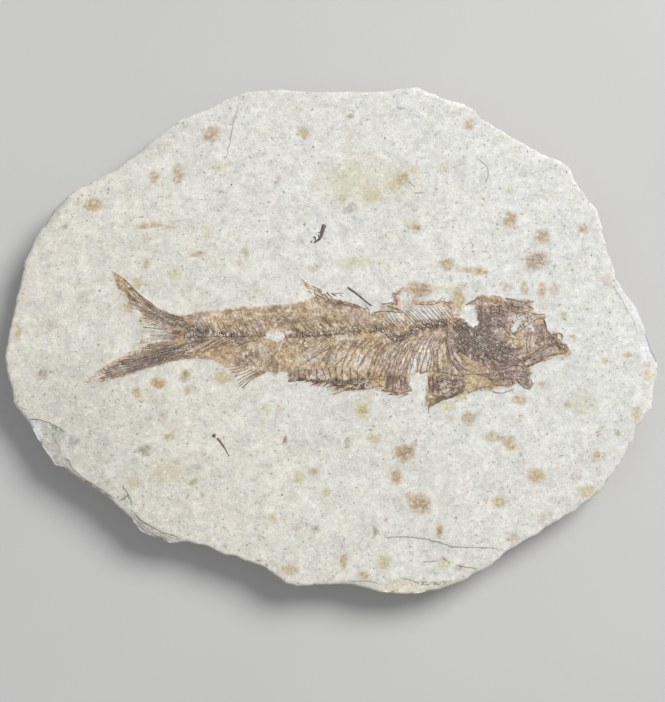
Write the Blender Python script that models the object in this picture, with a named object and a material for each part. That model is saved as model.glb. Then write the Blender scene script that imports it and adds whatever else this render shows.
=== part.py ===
"""Fossil fish slab: a small herring pressed flat in a hand-trimmed plate of pale bedded limestone.

Plan sizes and heights are in millimetres and turn to metres where a mesh is made. The slab lies on
its flat underside at z = 0. The fish lies along X with its head towards +X and its back towards +Y.
"""
import random

import bmesh
import bpy
from mathutils import Vector

MM = 0.001                    # one millimetre in metres

SLAB_THICKNESS = 10.0         # underside to fossil face
TOP_ARRIS = 0.25              # how far the broken top edge falls back over the last layer
LAYER_SLOPE = 0.12            # rise of a ledge between two beds, so that no ledge is dead flat
FILM_THICKNESS = 1.0          # the pressed fish, a hard brown film in the stone
FILM_PROUD = 0.15             # how far the film stands above the fossil face
CLEARANCE = 0.3               # gap between a film or bone and the stone round it
WELD = 0.000001               # metres, for the loose caps of a curve

# The trimmed outline of the slab, clockwise from the top left, seen from above.
SLAB_OUTLINE = (
    (-26.0, 61.1), (-22.0, 62.6), (-18.0, 63.2), (-12.5, 63.5), (-7.5, 62.8), (-2.0, 62.8), (4.0, 62.8),
    (10.0, 62.7), (16.2, 63.2), (18.5, 63.9), (22.0, 63.9), (25.0, 62.6), (27.0, 62.0), (28.2, 61.1),
    (33.8, 59.7), (36.8, 57.9), (38.0, 56.0), (43.0, 52.9), (47.5, 50.0), (53.0, 46.7), (56.5, 45.4),
    (60.2, 43.2), (62.0, 39.5), (64.8, 35.3), (67.4, 32.0), (67.8, 30.0), (68.5, 27.6), (68.4, 26.0),
    (70.0, 20.6), (71.8, 14.7), (73.3, 11.5), (76.3, 7.5), (77.8, 4.2), (79.0, 0.0), (80.3, -3.6),
    (81.8, -6.8), (81.5, -10.0), (80.3, -14.0), (80.1, -18.5), (78.3, -20.1), (77.3, -22.0),
    (76.0, -22.7), (74.9, -26.6), (73.4, -28.3), (71.7, -32.0), (70.0, -34.0), (67.0, -38.5),
    (64.0, -41.2), (61.6, -42.5), (60.2, -43.9), (57.6, -45.3), (53.0, -48.0), (51.0, -49.6),
    (48.8, -50.6), (45.0, -53.0), (43.0, -53.9), (41.4, -55.6), (38.3, -58.0), (35.2, -59.3),
    (33.0, -60.9), (28.6, -62.5), (24.0, -63.6), (19.0, -64.2), (16.0, -64.0), (12.0, -63.6),
    (8.0, -62.5), (3.0, -61.7), (-3.0, -62.0), (-8.0, -62.4), (-11.0, -61.5), (-13.5, -59.8),
    (-16.3, -57.6), (-20.5, -56.3), (-23.0, -55.1), (-26.0, -54.6), (-30.0, -52.6), (-34.0, -51.7),
    (-37.0, -51.5), (-39.8, -51.7), (-42.5, -50.5), (-45.0, -50.0), (-47.3, -48.5), (-49.0, -45.9),
    (-52.3, -43.1), (-54.2, -41.4), (-56.0, -39.9), (-60.5, -37.0), (-64.8, -34.1), (-66.3, -33.0),
    (-68.5, -32.4), (-70.2, -29.8), (-73.0, -25.8), (-74.3, -23.1), (-77.0, -19.8), (-78.9, -17.2),
    (-79.5, -13.8), (-80.5, -10.0), (-81.3, -5.5), (-80.5, 0.0), (-80.0, 3.6), (-79.1, 8.0),
    (-78.2, 12.5), (-77.5, 16.0), (-77.1, 18.6), (-75.4, 22.5), (-74.9, 24.4), (-72.8, 27.3),
    (-70.9, 29.9), (-69.9, 32.0), (-68.0, 34.1), (-65.0, 36.9), (-62.0, 38.1), (-59.0, 40.0),
    (-55.0, 42.1), (-51.3, 44.7), (-47.7, 47.8), (-43.7, 51.1), (-39.0, 55.1), (-36.8, 56.2),
    (-31.5, 58.2),
)
SLAB_HALF_SIZE = (80.0, 62.0)  # of the ellipse whose normals say which way is into the stone

# Bedding layers that show on the broken edge: floor, roof, set-back at the floor and at the roof
# from the outline, and how ragged the break is.
BEDS = (
    (0.0, 2.2, 2.3, 1.3, 1.6),
    (2.2, 4.6, 1.1, 0.8, 2.2),
    (4.6, 6.5, 0.9, 0.7, 2.0),
    (6.5, 8.3, 0.5, 0.2, 1.2),
)
CHIP_POINTS = (2, 7)          # shortest and longest flat facet of the break, in outline points
SHARED_BREAK = 0.6            # share of the raggedness that runs through all beds
BREAK_SEED = 7
FACE_BED = (8.3, 9.35)        # the bed whose edge is the outline itself
LAMINA_SET_BACK = 0.2         # of the thin top lamina where it has not flaked off

# Where the thin top lamina has flaked off, its edge follows these break lines.
FLAKE_LINES = (
    ((-79.5, -16.4), (-75.2, -20.9), (-70.0, -22.2), (-66.0, -25.0), (-67.4, -29.2), (-65.0, -31.6),
     (-62.5, -35.2), (-58.6, -37.6), (-53.4, -41.4), (-52.0, -42.9)),
    ((-50.6, -44.3), (-48.6, -44.0), (-46.4, -46.3), (-42.8, -48.5), (-37.0, -50.3), (-33.6, -51.7)),
    ((1.5, -61.5), (9.0, -61.2), (14.5, -61.6), (17.0, -60.4), (20.5, -61.0), (26.0, -61.5), (33.4, -60.3)),
    ((71.6, 15.0), (73.4, 9.0), (76.2, 3.2), (77.4, -1.0), (78.6, -6.5), (80.0, -12.0), (80.4, -14.2)),
    ((-77.4, 17.0), (-74.2, 23.0), (-71.8, 26.2), (-68.4, 31.2), (-66.2, 34.6), (-64.9, 37.0)),
)
FLAKE_REACH = 9.0             # the widest flake scar

# The fish's outline, clockwise from the tip of the upper tail lobe.
FISH_OUTLINE = (
    # upper tail lobe and tail root
    (-54.6, 16.2), (-52.0, 14.6), (-49.0, 11.6), (-46.9, 9.8), (-43.6, 7.8), (-40.8, 5.9), (-37.0, 5.3),
    # back
    (-34.8, 5.4), (-30.8, 6.0), (-26.5, 6.5), (-22.8, 7.2), (-18.0, 7.5), (-11.5, 7.9), (-5.0, 8.8),
    (0.5, 9.2), (5.7, 8.2), (9.4, 6.4), (10.0, 5.3), (12.8, 6.0), (12.7, 8.1), (15.4, 8.5), (15.3, 10.8),
    (18.4, 12.2), (22.4, 13.3), (25.6, 12.6), (28.5, 11.9), (32.0, 12.2), (33.4, 10.8), (33.6, 8.4),
    # skull roof and snout
    (36.4, 8.8), (38.0, 10.1), (42.5, 9.8), (46.5, 9.1), (50.9, 8.9), (51.2, 6.3), (53.8, 5.3),
    (53.7, 3.5), (54.6, 1.0), (56.8, 0.7), (58.1, -0.3), (57.9, -1.6), (59.3, -2.6), (60.0, -4.4),
    # jaw and throat
    (58.4, -6.0), (54.5, -6.2), (50.7, -8.0), (50.5, -9.6), (49.9, -10.8), (50.5, -12.2), (49.6, -13.7),
    (47.4, -13.0), (45.4, -13.6), (41.0, -14.7), (38.0, -13.7), (34.5, -14.9),
    # pectoral fin
    (29.5, -16.4), (26.5, -17.4), (24.6, -19.4), (23.3, -17.6), (23.9, -14.9), (24.1, -10.2),
    # belly
    (20.3, -10.6), (20.6, -14.0), (17.0, -15.9), (12.6, -14.3), (10.9, -13.6), (5.5, -14.2), (1.0, -15.1),
    (-2.2, -14.1), (-4.9, -12.9), (-11.0, -11.7), (-11.3, -9.9), (-13.4, -10.5), (-16.0, -9.4),
    # anal fin
    (-19.9, -12.2), (-21.7, -13.8), (-23.5, -12.9), (-24.6, -9.8), (-26.8, -7.8),
    # tail root and lower tail lobe
    (-29.5, -6.3), (-35.0, -6.1), (-40.0, -6.8), (-46.0, -8.7), (-52.0, -10.5), (-57.0, -12.0),
    (-61.4, -12.1),
    # rear edge of the tail
    (-58.4, -9.3), (-55.0, -7.2), (-51.8, -5.3), (-47.5, -3.0), (-46.6, -0.5), (-46.8, 2.0), (-48.6, 4.6),
    (-52.6, 6.6), (-51.2, 8.4), (-52.6, 9.9), (-53.6, 13.0),
)

# The backbone, in two runs: the joints between them were lost when the slab was split.
BACKBONE_RUNS = (
    ((-35.8, -0.3), (-30.0, 0.0), (-24.0, 0.0), (-16.8, 0.1)),
    ((-10.6, -0.3), (-7.0, 0.0), (0.0, 0.4), (5.0, 1.1), (9.5, 1.0), (12.0, 1.8), (14.2, 1.0), (16.0, -0.7),
     (18.0, -1.0), (21.0, 0.8), (25.0, 1.8), (30.4, 2.6)),
)
VERTEBRA_PITCH = 1.5
VERTEBRA_RIM_RADIUS = 0.85
VERTEBRA_WAIST_RADIUS = 0.5

# Ribs, each from the backbone down and back to the belly.
RIBS = (
    ((0.4, -3.0), (-1.4, -5.4), (-3.0, -7.9)),
    ((4.4, -4.6), (3.2, -7.4), (2.5, -10.2)),
    ((3.4, -5.4), (1.2, -7.5), (-0.6, -8.4)),
    ((9.8, -3.8), (8.0, -6.2), (6.2, -10.0)),
    ((13.2, -1.8), (11.0, -5.0), (9.2, -9.8)),
    ((14.5, -2.5), (12.6, -5.4), (10.4, -10.8)),
    ((16.0, -3.2), (14.3, -6.5), (12.2, -10.6)),
    ((17.4, -2.8), (16.0, -7.0), (14.0, -12.4)),
    ((18.4, -2.6), (16.8, -6.6), (15.2, -12.8)),
    ((19.4, -2.4), (17.8, -6.2), (16.4, -11.4)),
    ((20.6, -2.2), (19.0, -6.0), (17.6, -9.9)),
    ((22.0, -1.8), (20.2, -5.2), (18.7, -9.7)),
    ((23.4, -1.0), (21.4, -4.4), (19.7, -9.6)),
    ((24.6, -0.8), (22.8, -4.0), (21.6, -9.5)),
    ((25.8, -0.6), (24.0, -4.0), (22.5, -9.4)),
    ((26.8, -0.8), (25.2, -4.4), (23.9, -9.0)),
    ((27.8, -1.2), (26.4, -5.0), (25.8, -8.8)),
)
RIB_RADIUS = 0.27

# Spines over and under the backbone: first and last foot, pitch, and the lean of a spine.
UPPER_SPINES = ((-33.0, -17.0, 2.3, (-3.2, 3.9)), (-9.0, 9.5, 2.3, (-3.1, 3.3)), (13.5, 30.2, 1.9, (-4.2, 4.8)))
LOWER_SPINES = ((-32.0, -17.0, 2.1, (-4.3, -2.8)), (-8.6, -2.0, 2.3, (-3.4, -3.2)))
SPINE_RADIUS = 0.2

# Fin rays fan between two lines: their feet and their tips.
TAIL_RAYS_PER_LOBE = 8
UPPER_LOBE_FEET = ((-36.8, 4.3), (-35.8, 0.5))
UPPER_LOBE_TIPS = ((-53.9, 15.3), (-52.6, 11.6), (-50.3, 7.6), (-47.6, 4.4), (-46.0, 1.4))
LOWER_LOBE_FEET = ((-36.8, -5.3), (-35.8, -0.7))
LOWER_LOBE_TIPS = ((-60.2, -11.8), (-57.4, -9.6), (-53.4, -7.0), (-48.8, -4.4), (-45.8, -1.2))
UPPER_LOBE_BOW = -1.1         # the long rays sag by this at their middle, along the lobe's edge
LOWER_LOBE_BOW = 0.3
TAIL_RAY_RADIUS = 0.3
ANAL_RAYS = 8
ANAL_FEET = ((-24.2, -7.2), (-16.9, -9.7))
ANAL_TIPS = ((-25.6, -8.2), (-21.8, -13.2))
ANAL_RAY_RADIUS = 0.2

# Belly scutes: the keel they stand on, their number, length and width.
KEEL = ((-8.4, -10.9), (-4.0, -11.4), (0.0, -12.7), (4.0, -13.3), (8.0, -13.0), (11.0, -12.9))
SCUTES = 8
SCUTE_LENGTH = 2.4
SCUTE_RADIUS = 0.55

# Flat bones of the head and shoulder: outline and height above the film.
FLAT_BONES = {
    "gill_cover": (0.55, ((30.7, 2.6), (34.4, 3.0), (38.5, 1.9), (42.4, 1.2), (44.6, -2.4), (47.9, -4.3),
                          (46.6, -7.2), (42.0, -8.5), (37.5, -8.9), (34.0, -7.6), (31.8, -5.0), (30.5, -1.4))),
    "temple": (0.45, ((37.0, 2.9), (36.7, 7.0), (38.2, 8.2), (43.2, 7.8), (45.2, 6.0), (44.8, 3.2),
                      (43.2, 1.9), (40.0, 2.2))),
    "skull_roof": (0.6, ((34.4, 7.9), (38.0, 9.7), (42.6, 9.4), (47.2, 8.5), (50.8, 6.6), (50.6, 5.9),
                         (46.4, 6.7), (43.4, 8.2), (38.2, 8.6))),
    "cheek": (0.5, ((49.2, -0.2), (50.6, 2.2), (52.8, 4.2), (53.4, 3.0), (54.3, 0.7), (56.6, -0.9),
                    (58.8, -2.9), (57.8, -4.0), (54.6, -2.8), (51.2, -4.2), (49.0, -3.4))),
    "throat": (0.4, ((38.4, -9.4), (41.6, -8.9), (46.0, -8.0), (49.0, -8.4), (50.0, -9.6), (48.4, -10.9),
                     (46.0, -12.2), (42.0, -12.1), (39.6, -11.2))),
    "pectoral_root": (0.45, ((24.6, -10.3), (28.0, -9.8), (32.3, -10.4), (33.7, -11.9), (33.0, -14.2),
                             (30.4, -15.6), (26.6, -16.6), (25.0, -15.0), (24.4, -12.4))),
    "belly_fan": (0.35, ((15.2, -9.4), (13.8, -13.5), (16.8, -15.2), (20.0, -13.9), (19.2, -11.2))),
}

# Rods of the head, shoulder and back: points and thickness.
LONG_BONES = (
    (((29.8, 2.9), (29.3, -2.0), (30.0, -5.6), (31.6, -8.4), (33.9, -10.8)), 0.8),     # shoulder
    (((48.2, -6.5), (51.5, -4.6), (55.4, -2.9), (57.4, -2.3)), 0.6),                   # upper jaw
    (((49.5, -7.6), (52.3, -6.2), (55.5, -5.0), (58.6, -4.5)), 0.5),                   # lower jaw
    (((46.6, -11.7), (48.2, -12.8), (49.4, -12.9), (50.0, -12.0)), 0.42),              # hyoid
    (((0.6, 8.7), (4.2, 8.0), (8.8, 6.4)), 0.4),                                       # back ridge
    (((13.2, 7.6), (16.6, 7.7), (17.0, 9.6), (16.0, 10.4)), 0.35),                     # forked bone
    (((11.4, 5.6), (14.6, 5.9), (18.4, 5.3)), 0.35),
    (((21.6, 7.8), (26.4, 7.8), (28.2, 8.5), (30.2, 8.0)), 0.3),
)
SNOUT_RING = ((57.2, -0.55), 0.6, 0.28)   # centre, ring radius, bone radius

# Loose pieces beside the fish.
DORSAL_FIN_OUTLINE = ((-7.4, 14.4), (-5.2, 13.7), (-2.4, 12.4), (-1.6, 11.2), (3.4, 11.2), (3.5, 10.5),
                      (0.4, 9.95), (-3.8, 9.9), (-5.6, 11.0))
DORSAL_RAYS = (((-6.6, 13.6), (-4.6, 11.2)), ((-5.2, 13.1), (-3.4, 10.4)), ((-3.8, 12.4), (-2.2, 10.4)),
               ((-2.6, 11.5), (-1.2, 10.4)), ((-0.9, 10.9), (0.2, 10.4)), ((0.7, 10.9), (2.9, 10.8)))
FIN_SPINE = ((4.4, 12.4), (7.4, 9.9), (10.3, 7.5))
FIN_SPINE_RADII = (0.22, 0.3, 0.3)
STRAY_RIB = ((-27.9, -26.4), (-26.7, -27.9), (-25.2, -30.6))
STRAY_RIB_RADII = (0.28, 0.24, 0.1)
STRAY_SLIVER = ((-1.6, 28.5), (-2.3, 26.2), (-3.4, 24.7), (-5.0, 23.7))
STRAY_SLIVER_RADII = (0.45, 0.42, 0.35, 0.2)
GROOVE_DEPTH = 0.75           # below the fossil face, under a loose bone
FIN_FILM = 0.5                # thickness of the loose dorsal fin

STONE = ("limestone", (0.74, 0.72, 0.66, 1.0), 0.85)
FOSSIL = ("fossil_bone", (0.25, 0.16, 0.11, 1.0), 0.6)
SLIVER = ("dark_sliver", (0.12, 0.12, 0.13, 1.0), 0.5)


def clear_scene():
    for item in list(bpy.data.objects):
        bpy.data.objects.remove(item, do_unlink=True)


def new_collection(name):
    collection = bpy.data.collections.new(name)
    bpy.context.scene.collection.children.link(collection)
    return collection


def material(finish):
    name, color, roughness = finish
    found = bpy.data.materials.get(name)
    if found:
        return found
    made = bpy.data.materials.new(name)
    made.use_nodes = True
    shader = made.node_tree.nodes["Principled BSDF"]
    shader.inputs["Base Color"].default_value = color
    shader.inputs["Roughness"].default_value = roughness
    shader.inputs["Metallic"].default_value = 0.0
    made.diffuse_color = color
    return made


def point_on(line, share):
    """The point at a share of a broken line's length."""
    points = [Vector(p) for p in line]
    lengths = [(b - a).length for a, b in zip(points, points[1:])]
    left = share * sum(lengths)
    for start, end, length in zip(points, points[1:], lengths):
        if left <= length:
            return start.lerp(end, left / length)
        left -= length
    return points[-1]


def height_on(line, x):
    """The y of a line that runs towards +X, at x."""
    for (x0, y0), (x1, y1) in zip(line, line[1:]):
        if x0 <= x <= x1:
            return y0 + (y1 - y0) * (x - x0) / (x1 - x0)
    return line[-1][1] if x > line[-1][0] else line[0][1]


def widened(outline, distance):
    """The outline, moved outwards by a distance."""
    points = [Vector(p) for p in outline]
    turn = sum(a.x * b.y - a.y * b.x for a, b in zip(points, points[1:] + points[:1]))
    side = 1.0 if turn < 0 else -1.0
    wide = []
    for before, here, after in zip(points[-1:] + points[:-1], points, points[1:] + points[:1]):
        ahead = (after - here).normalized()
        behind = (here - before).normalized()
        normals = [Vector((-d.y, d.x)) * side for d in (behind, ahead)]
        middle = (normals[0] + normals[1]).normalized()
        reach = distance / max(middle.dot(ahead.orthogonal().normalized()) ** 2, 0.4) ** 0.5
        wide.append(here + middle * reach)
    return wide


def into_stone(point):
    """The way from a point of the slab's edge into the stone."""
    normal = Vector((point[0] / SLAB_HALF_SIZE[0] ** 2, point[1] / SLAB_HALF_SIZE[1] ** 2))
    return -normal.normalized()


def facets(seed):
    """Set-backs from 0 to 1 for the points of the outline, in flat facets with steps between them."""
    chance = random.Random(seed)
    values = []
    while len(values) < len(SLAB_OUTLINE):
        count = chance.randint(*CHIP_POINTS)
        start, end = chance.random(), chance.random()
        values += [start + (end - start) * step / count for step in range(count)]
    return values[:len(SLAB_OUTLINE)]


def flake_set_back(point, inwards):
    """How far the top lamina's edge lies inside the outline, where a flake line crosses the way in."""
    reach = LAMINA_SET_BACK
    start = Vector(point)
    for line in FLAKE_LINES:
        for a, b in zip(line, line[1:]):
            along = Vector(b) - Vector(a)
            cross = inwards.x * along.y - inwards.y * along.x
            if abs(cross) < WELD:
                continue
            gap = Vector(a) - start
            distance = (gap.x * along.y - gap.y * along.x) / cross
            share = (gap.x * inwards.y - gap.y * inwards.x) / cross
            if 0.0 <= share <= 1.0 and 0.0 < distance < FLAKE_REACH:
                reach = max(reach, distance)
    return reach


def slab_rings():
    """Rings of points from the underside to the fossil face."""
    levels = []
    shared = facets(BREAK_SEED)
    for bed, (floor, roof, foot, head, ragged) in enumerate(BEDS):
        own = facets(BREAK_SEED + 1 + bed)
        rough = [ragged * (SHARED_BREAK * s + (1.0 - SHARED_BREAK) * o) for s, o in zip(shared, own)]
        lift = LAYER_SLOPE if bed else 0.0
        levels.append((floor + lift, [foot + r for r in rough]))
        levels.append((roof, [head + r for r in rough]))
    flush = [0.0] * len(SLAB_OUTLINE)
    lamina = [flake_set_back(p, into_stone(p)) for p in SLAB_OUTLINE]
    levels.append((FACE_BED[0] + LAYER_SLOPE, flush))
    levels.append((FACE_BED[1], flush))
    levels.append((FACE_BED[1] + LAYER_SLOPE, lamina))
    levels.append((SLAB_THICKNESS, [back + TOP_ARRIS for back in lamina]))
    rings = []
    for height, set_backs in levels:
        ring = [Vector(p) + into_stone(p) * back for p, back in zip(SLAB_OUTLINE, set_backs)]
        rings.append([(p.x, p.y, height) for p in ring])
    return rings


def object_from(name, mesh, collection, finish):
    made = bpy.data.objects.new(name, mesh)
    collection.objects.link(made)
    mesh.materials.clear()
    mesh.materials.append(material(finish))
    return made


def lofted(name, rings, collection, finish):
    """A closed solid through rings of the same number of points, capped at both ends."""
    shape = bmesh.new()
    loops = [[shape.verts.new(Vector(p) * MM) for p in ring] for ring in rings]
    for low, high in zip(loops, loops[1:]):
        count = len(low)
        for i in range(count):
            j = (i + 1) % count
            shape.faces.new((low[i], low[j], high[j], high[i]))
    shape.faces.new(loops[0])
    shape.faces.new(loops[-1])
    bmesh.ops.recalc_face_normals(shape, faces=shape.faces)
    mesh = bpy.data.meshes.new(name)
    shape.to_mesh(mesh)
    shape.free()
    return object_from(name, mesh, collection, finish)


def mesh_from_curve(name, curve, collection, finish, location=(0.0, 0.0, 0.0)):
    """The curve as a closed mesh in its place."""
    drawn = bpy.data.objects.new(name + "_curve", curve)
    bpy.context.scene.collection.objects.link(drawn)
    drawn.location = location
    bpy.context.view_layer.update()
    evaluated = drawn.evaluated_get(bpy.context.evaluated_depsgraph_get())
    mesh = bpy.data.meshes.new_from_object(evaluated)
    mesh.transform(drawn.matrix_world)
    bpy.data.objects.remove(drawn, do_unlink=True)
    shape = bmesh.new()
    shape.from_mesh(mesh)
    bmesh.ops.remove_doubles(shape, verts=shape.verts, dist=WELD)
    bmesh.ops.recalc_face_normals(shape, faces=shape.faces)
    shape.to_mesh(mesh)
    shape.free()
    return object_from(name, mesh, collection, finish)


def flat_plate(name, outline, low, high, collection, finish):
    """A flat outline between two heights."""
    curve = bpy.data.curves.new(name, "CURVE")
    curve.dimensions = "2D"
    curve.fill_mode = "BOTH"
    curve.extrude = (high - low) / 2 * MM
    spline = curve.splines.new("POLY")
    spline.points.add(len(outline) - 1)
    for point, (x, y) in zip(spline.points, outline):
        point.co = (x * MM, y * MM, 0.0, 1.0)
    spline.use_cyclic_u = True
    return mesh_from_curve(name, curve, collection, finish, (0.0, 0.0, (low + high) / 2 * MM))


def rod(name, points, radii, height, collection, finish, resolution=0):
    """A bone of changing thickness along points at one height."""
    curve = bpy.data.curves.new(name, "CURVE")
    curve.dimensions = "3D"
    curve.twist_mode = "Z_UP"
    curve.bevel_depth = MM
    curve.bevel_resolution = resolution
    curve.use_fill_caps = True
    spline = curve.splines.new("POLY")
    spline.points.add(len(points) - 1)
    for point, place, radius in zip(spline.points, points, radii):
        point.co = (place[0] * MM, place[1] * MM, height * MM, 1.0)
        point.radius = radius
    return mesh_from_curve(name, curve, collection, finish)


def flat_bone(name, outline, height, collection):
    """A flat bone with sloping edges, its foot sunk in the film."""
    points = [Vector(p) for p in outline]
    centre = sum(points, Vector((0.0, 0.0))) / len(points)
    film = SLAB_THICKNESS + FILM_PROUD
    steps = ((film - 0.4, 1.0), (film + 0.4 * height, 0.97), (film + height, 0.8))
    rings = []
    for z, share in steps:
        ring = [centre.lerp(p, share) for p in points]
        rings.append([(p.x, p.y, z) for p in ring])
    return lofted(name, rings, collection, FOSSIL)


def backbone(run, number, collection):
    """A run of hourglass vertebrae, thick at each joint and thin at each waist."""
    length = sum((Vector(b) - Vector(a)).length for a, b in zip(run, run[1:]))
    steps = 2 * round(length / VERTEBRA_PITCH)
    points = [point_on(run, step / steps) for step in range(steps + 1)]
    radii = [VERTEBRA_WAIST_RADIUS if step % 2 else VERTEBRA_RIM_RADIUS for step in range(steps + 1)]
    height = SLAB_THICKNESS + FILM_PROUD + 0.05
    return rod(f"backbone_{number}", points, radii, height, collection, FOSSIL, resolution=1)


def spines(rows, name, collection):
    """Straight thin spines that lean back from the backbone."""
    number = 0
    height = SLAB_THICKNESS + FILM_PROUD + 0.02
    for first, last, pitch, lean in rows:
        run = next(r for r in BACKBONE_RUNS if r[0][0] <= first + 4.0 and last <= r[-1][0] + 0.5)
        for step in range(int((last - first) / pitch) + 1):
            x = first + step * pitch
            y = height_on(run, x)
            tip = (x + lean[0], y + lean[1])
            rod(f"{name}_{number}", ((x, y), tip), (SPINE_RADIUS, SPINE_RADIUS * 0.7), height, collection, FOSSIL)
            number += 1


def fan(feet, tips, count, radius, name, collection, bow=0.0):
    """Fin rays from a line of feet to a line of tips, the first ones bowed."""
    height = SLAB_THICKNESS + FILM_PROUD + 0.03
    for number in range(count):
        share = (number + 0.3) / (count - 0.4)
        foot = point_on(feet, min(share, 1.0))
        tip = point_on(tips, min(share, 1.0))
        middle = foot.lerp(tip, 0.45) + Vector((0.0, bow * (1.0 - share)))
        radii = (radius * 0.8, radius, radius * 0.6)
        rod(f"{name}_{number}", (foot, middle, tip), radii, height, collection, FOSSIL)


def scute(number, collection):
    """One pointed belly scute, its tip turned back towards the tail."""
    root = point_on(KEEL, number / (SCUTES - 1))
    tip = root + Vector((-SCUTE_LENGTH, -0.35))
    height = SLAB_THICKNESS + FILM_PROUD + 0.06
    radii = (SCUTE_RADIUS, SCUTE_RADIUS * 0.8, 0.12)
    points = (root, root.lerp(tip, 0.4), tip)
    return rod(f"scute_{number}", points, radii, height, collection, FOSSIL)


def cut_from(body, cutter):
    cutter.hide_render = True
    cutter.display_type = "WIRE"
    cut = body.modifiers.new(cutter.name, "BOOLEAN")
    cut.operation = "DIFFERENCE"
    cut.solver = "EXACT"
    cut.object = cutter


def fused_with(body, bones):
    """Unites a film with the bones of a collection."""
    for bone in bones.objects:
        bone.hide_render = True
        bone.display_type = "WIRE"
    join = body.modifiers.new("bones", "BOOLEAN")
    join.operation = "UNION"
    join.solver = "EXACT"
    join.operand_type = "COLLECTION"
    join.collection = bones


def fish(parts, pockets, bones):
    """The pressed body, with every bone that stands up from it fused on, and its pocket in the stone."""
    high = SLAB_THICKNESS + FILM_PROUD
    low = high - FILM_THICKNESS
    body = flat_plate("fossil_fish", FISH_OUTLINE, low, high, parts, FOSSIL)
    wide = widened(FISH_OUTLINE, CLEARANCE)
    pocket = flat_plate("fish_pocket", wide, low - CLEARANCE, high + 1.0, pockets, STONE)
    for number, run in enumerate(BACKBONE_RUNS):
        backbone(run, number, bones)
    for number, points in enumerate(RIBS):
        radii = (RIB_RADIUS, RIB_RADIUS, RIB_RADIUS * 0.6)
        rod(f"rib_{number}", points, radii, high + 0.04, bones, FOSSIL)
    spines(UPPER_SPINES, "upper_spine", bones)
    spines(LOWER_SPINES, "lower_spine", bones)
    fan(UPPER_LOBE_FEET, UPPER_LOBE_TIPS, TAIL_RAYS_PER_LOBE, TAIL_RAY_RADIUS, "upper_ray", bones,
        UPPER_LOBE_BOW)
    fan(LOWER_LOBE_FEET, LOWER_LOBE_TIPS, TAIL_RAYS_PER_LOBE, TAIL_RAY_RADIUS, "lower_ray", bones,
        LOWER_LOBE_BOW)
    fan(ANAL_FEET, ANAL_TIPS, ANAL_RAYS, ANAL_RAY_RADIUS, "anal_ray", bones)
    for number in range(SCUTES):
        scute(number, bones)
    for name, (height, outline) in FLAT_BONES.items():
        flat_bone(name, outline, height, bones)
    for number, (points, radius) in enumerate(LONG_BONES):
        radii = [radius] * (len(points) - 1) + [radius * 0.7]
        rod(f"long_bone_{number}", points, radii, high + 0.05, bones, FOSSIL, resolution=1)
    centre, ring_radius, bone_radius = SNOUT_RING
    bpy.ops.mesh.primitive_torus_add(major_radius=ring_radius * MM, minor_radius=bone_radius * MM,
                                     major_segments=10, minor_segments=5,
                                     location=(centre[0] * MM, centre[1] * MM, (high + 0.05) * MM))
    ring = bpy.context.object
    ring.name = "snout_ring"
    for holder in list(ring.users_collection):
        holder.objects.unlink(ring)
    bones.objects.link(ring)
    fused_with(body, bones)
    return pocket


def dorsal_fin(parts, pockets, bones):
    """The torn-off dorsal fin, a thin film with a comb of ray stumps."""
    high = SLAB_THICKNESS + FILM_PROUD
    low = high - FIN_FILM
    film = flat_plate("dorsal_fin", DORSAL_FIN_OUTLINE, low, high, parts, FOSSIL)
    wide = widened(DORSAL_FIN_OUTLINE, CLEARANCE)
    pocket = flat_plate("dorsal_fin_pocket", wide, low - CLEARANCE, high + 1.0, pockets, STONE)
    for number, ends in enumerate(DORSAL_RAYS):
        rod(f"dorsal_ray_{number}", ends, (0.22, 0.16), high + 0.03, bones, FOSSIL)
    fused_with(film, bones)
    return pocket


def loose_bone(name, points, radii, finish, parts, pockets):
    """A bone on its own, half sunk in a groove."""
    rod(name, points, radii, SLAB_THICKNESS, parts, finish, resolution=1)
    first, last = Vector(points[0]), Vector(points[-1])
    run = (last - first).normalized()
    across = Vector((-run.y, run.x))
    way = [Vector(p) for p in points]
    way[0] = first - run * CLEARANCE
    way[-1] = last + run * CLEARANCE
    one = [p + across * (r + CLEARANCE) for p, r in zip(way, radii)]
    other = [p - across * (r + CLEARANCE) for p, r in zip(way, radii)]
    outline = one + other[::-1]
    low, high = SLAB_THICKNESS - GROOVE_DEPTH, SLAB_THICKNESS + 1.0
    return flat_plate(name + "_groove", outline, low, high, pockets, STONE)


def main():
    clear_scene()
    parts = new_collection("fossil_fish_slab")
    pockets = new_collection("pockets")
    fish_bones = new_collection("fish_bones")
    fin_bones = new_collection("fin_bones")

    slab = lofted("limestone_slab", slab_rings(), parts, STONE)
    cut_from(slab, fish(parts, pockets, fish_bones))
    cut_from(slab, dorsal_fin(parts, pockets, fin_bones))
    cut_from(slab, loose_bone("fin_spine", FIN_SPINE, FIN_SPINE_RADII, FOSSIL, parts, pockets))
    cut_from(slab, loose_bone("stray_rib", STRAY_RIB, STRAY_RIB_RADII, FOSSIL, parts, pockets))
    cut_from(slab, loose_bone("stray_sliver", STRAY_SLIVER, STRAY_SLIVER_RADII, SLIVER, parts, pockets))


main()
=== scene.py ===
"""Fossil fish slab: the finished surfaces of a pressed herring in a plate of pale limestone.

Plan sizes and heights are in millimetres and turn to metres where a mesh is made.
"""
import math

import bmesh
import bpy
import numpy as np
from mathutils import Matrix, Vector
from mathutils.bvhtree import BVHTree


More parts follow.
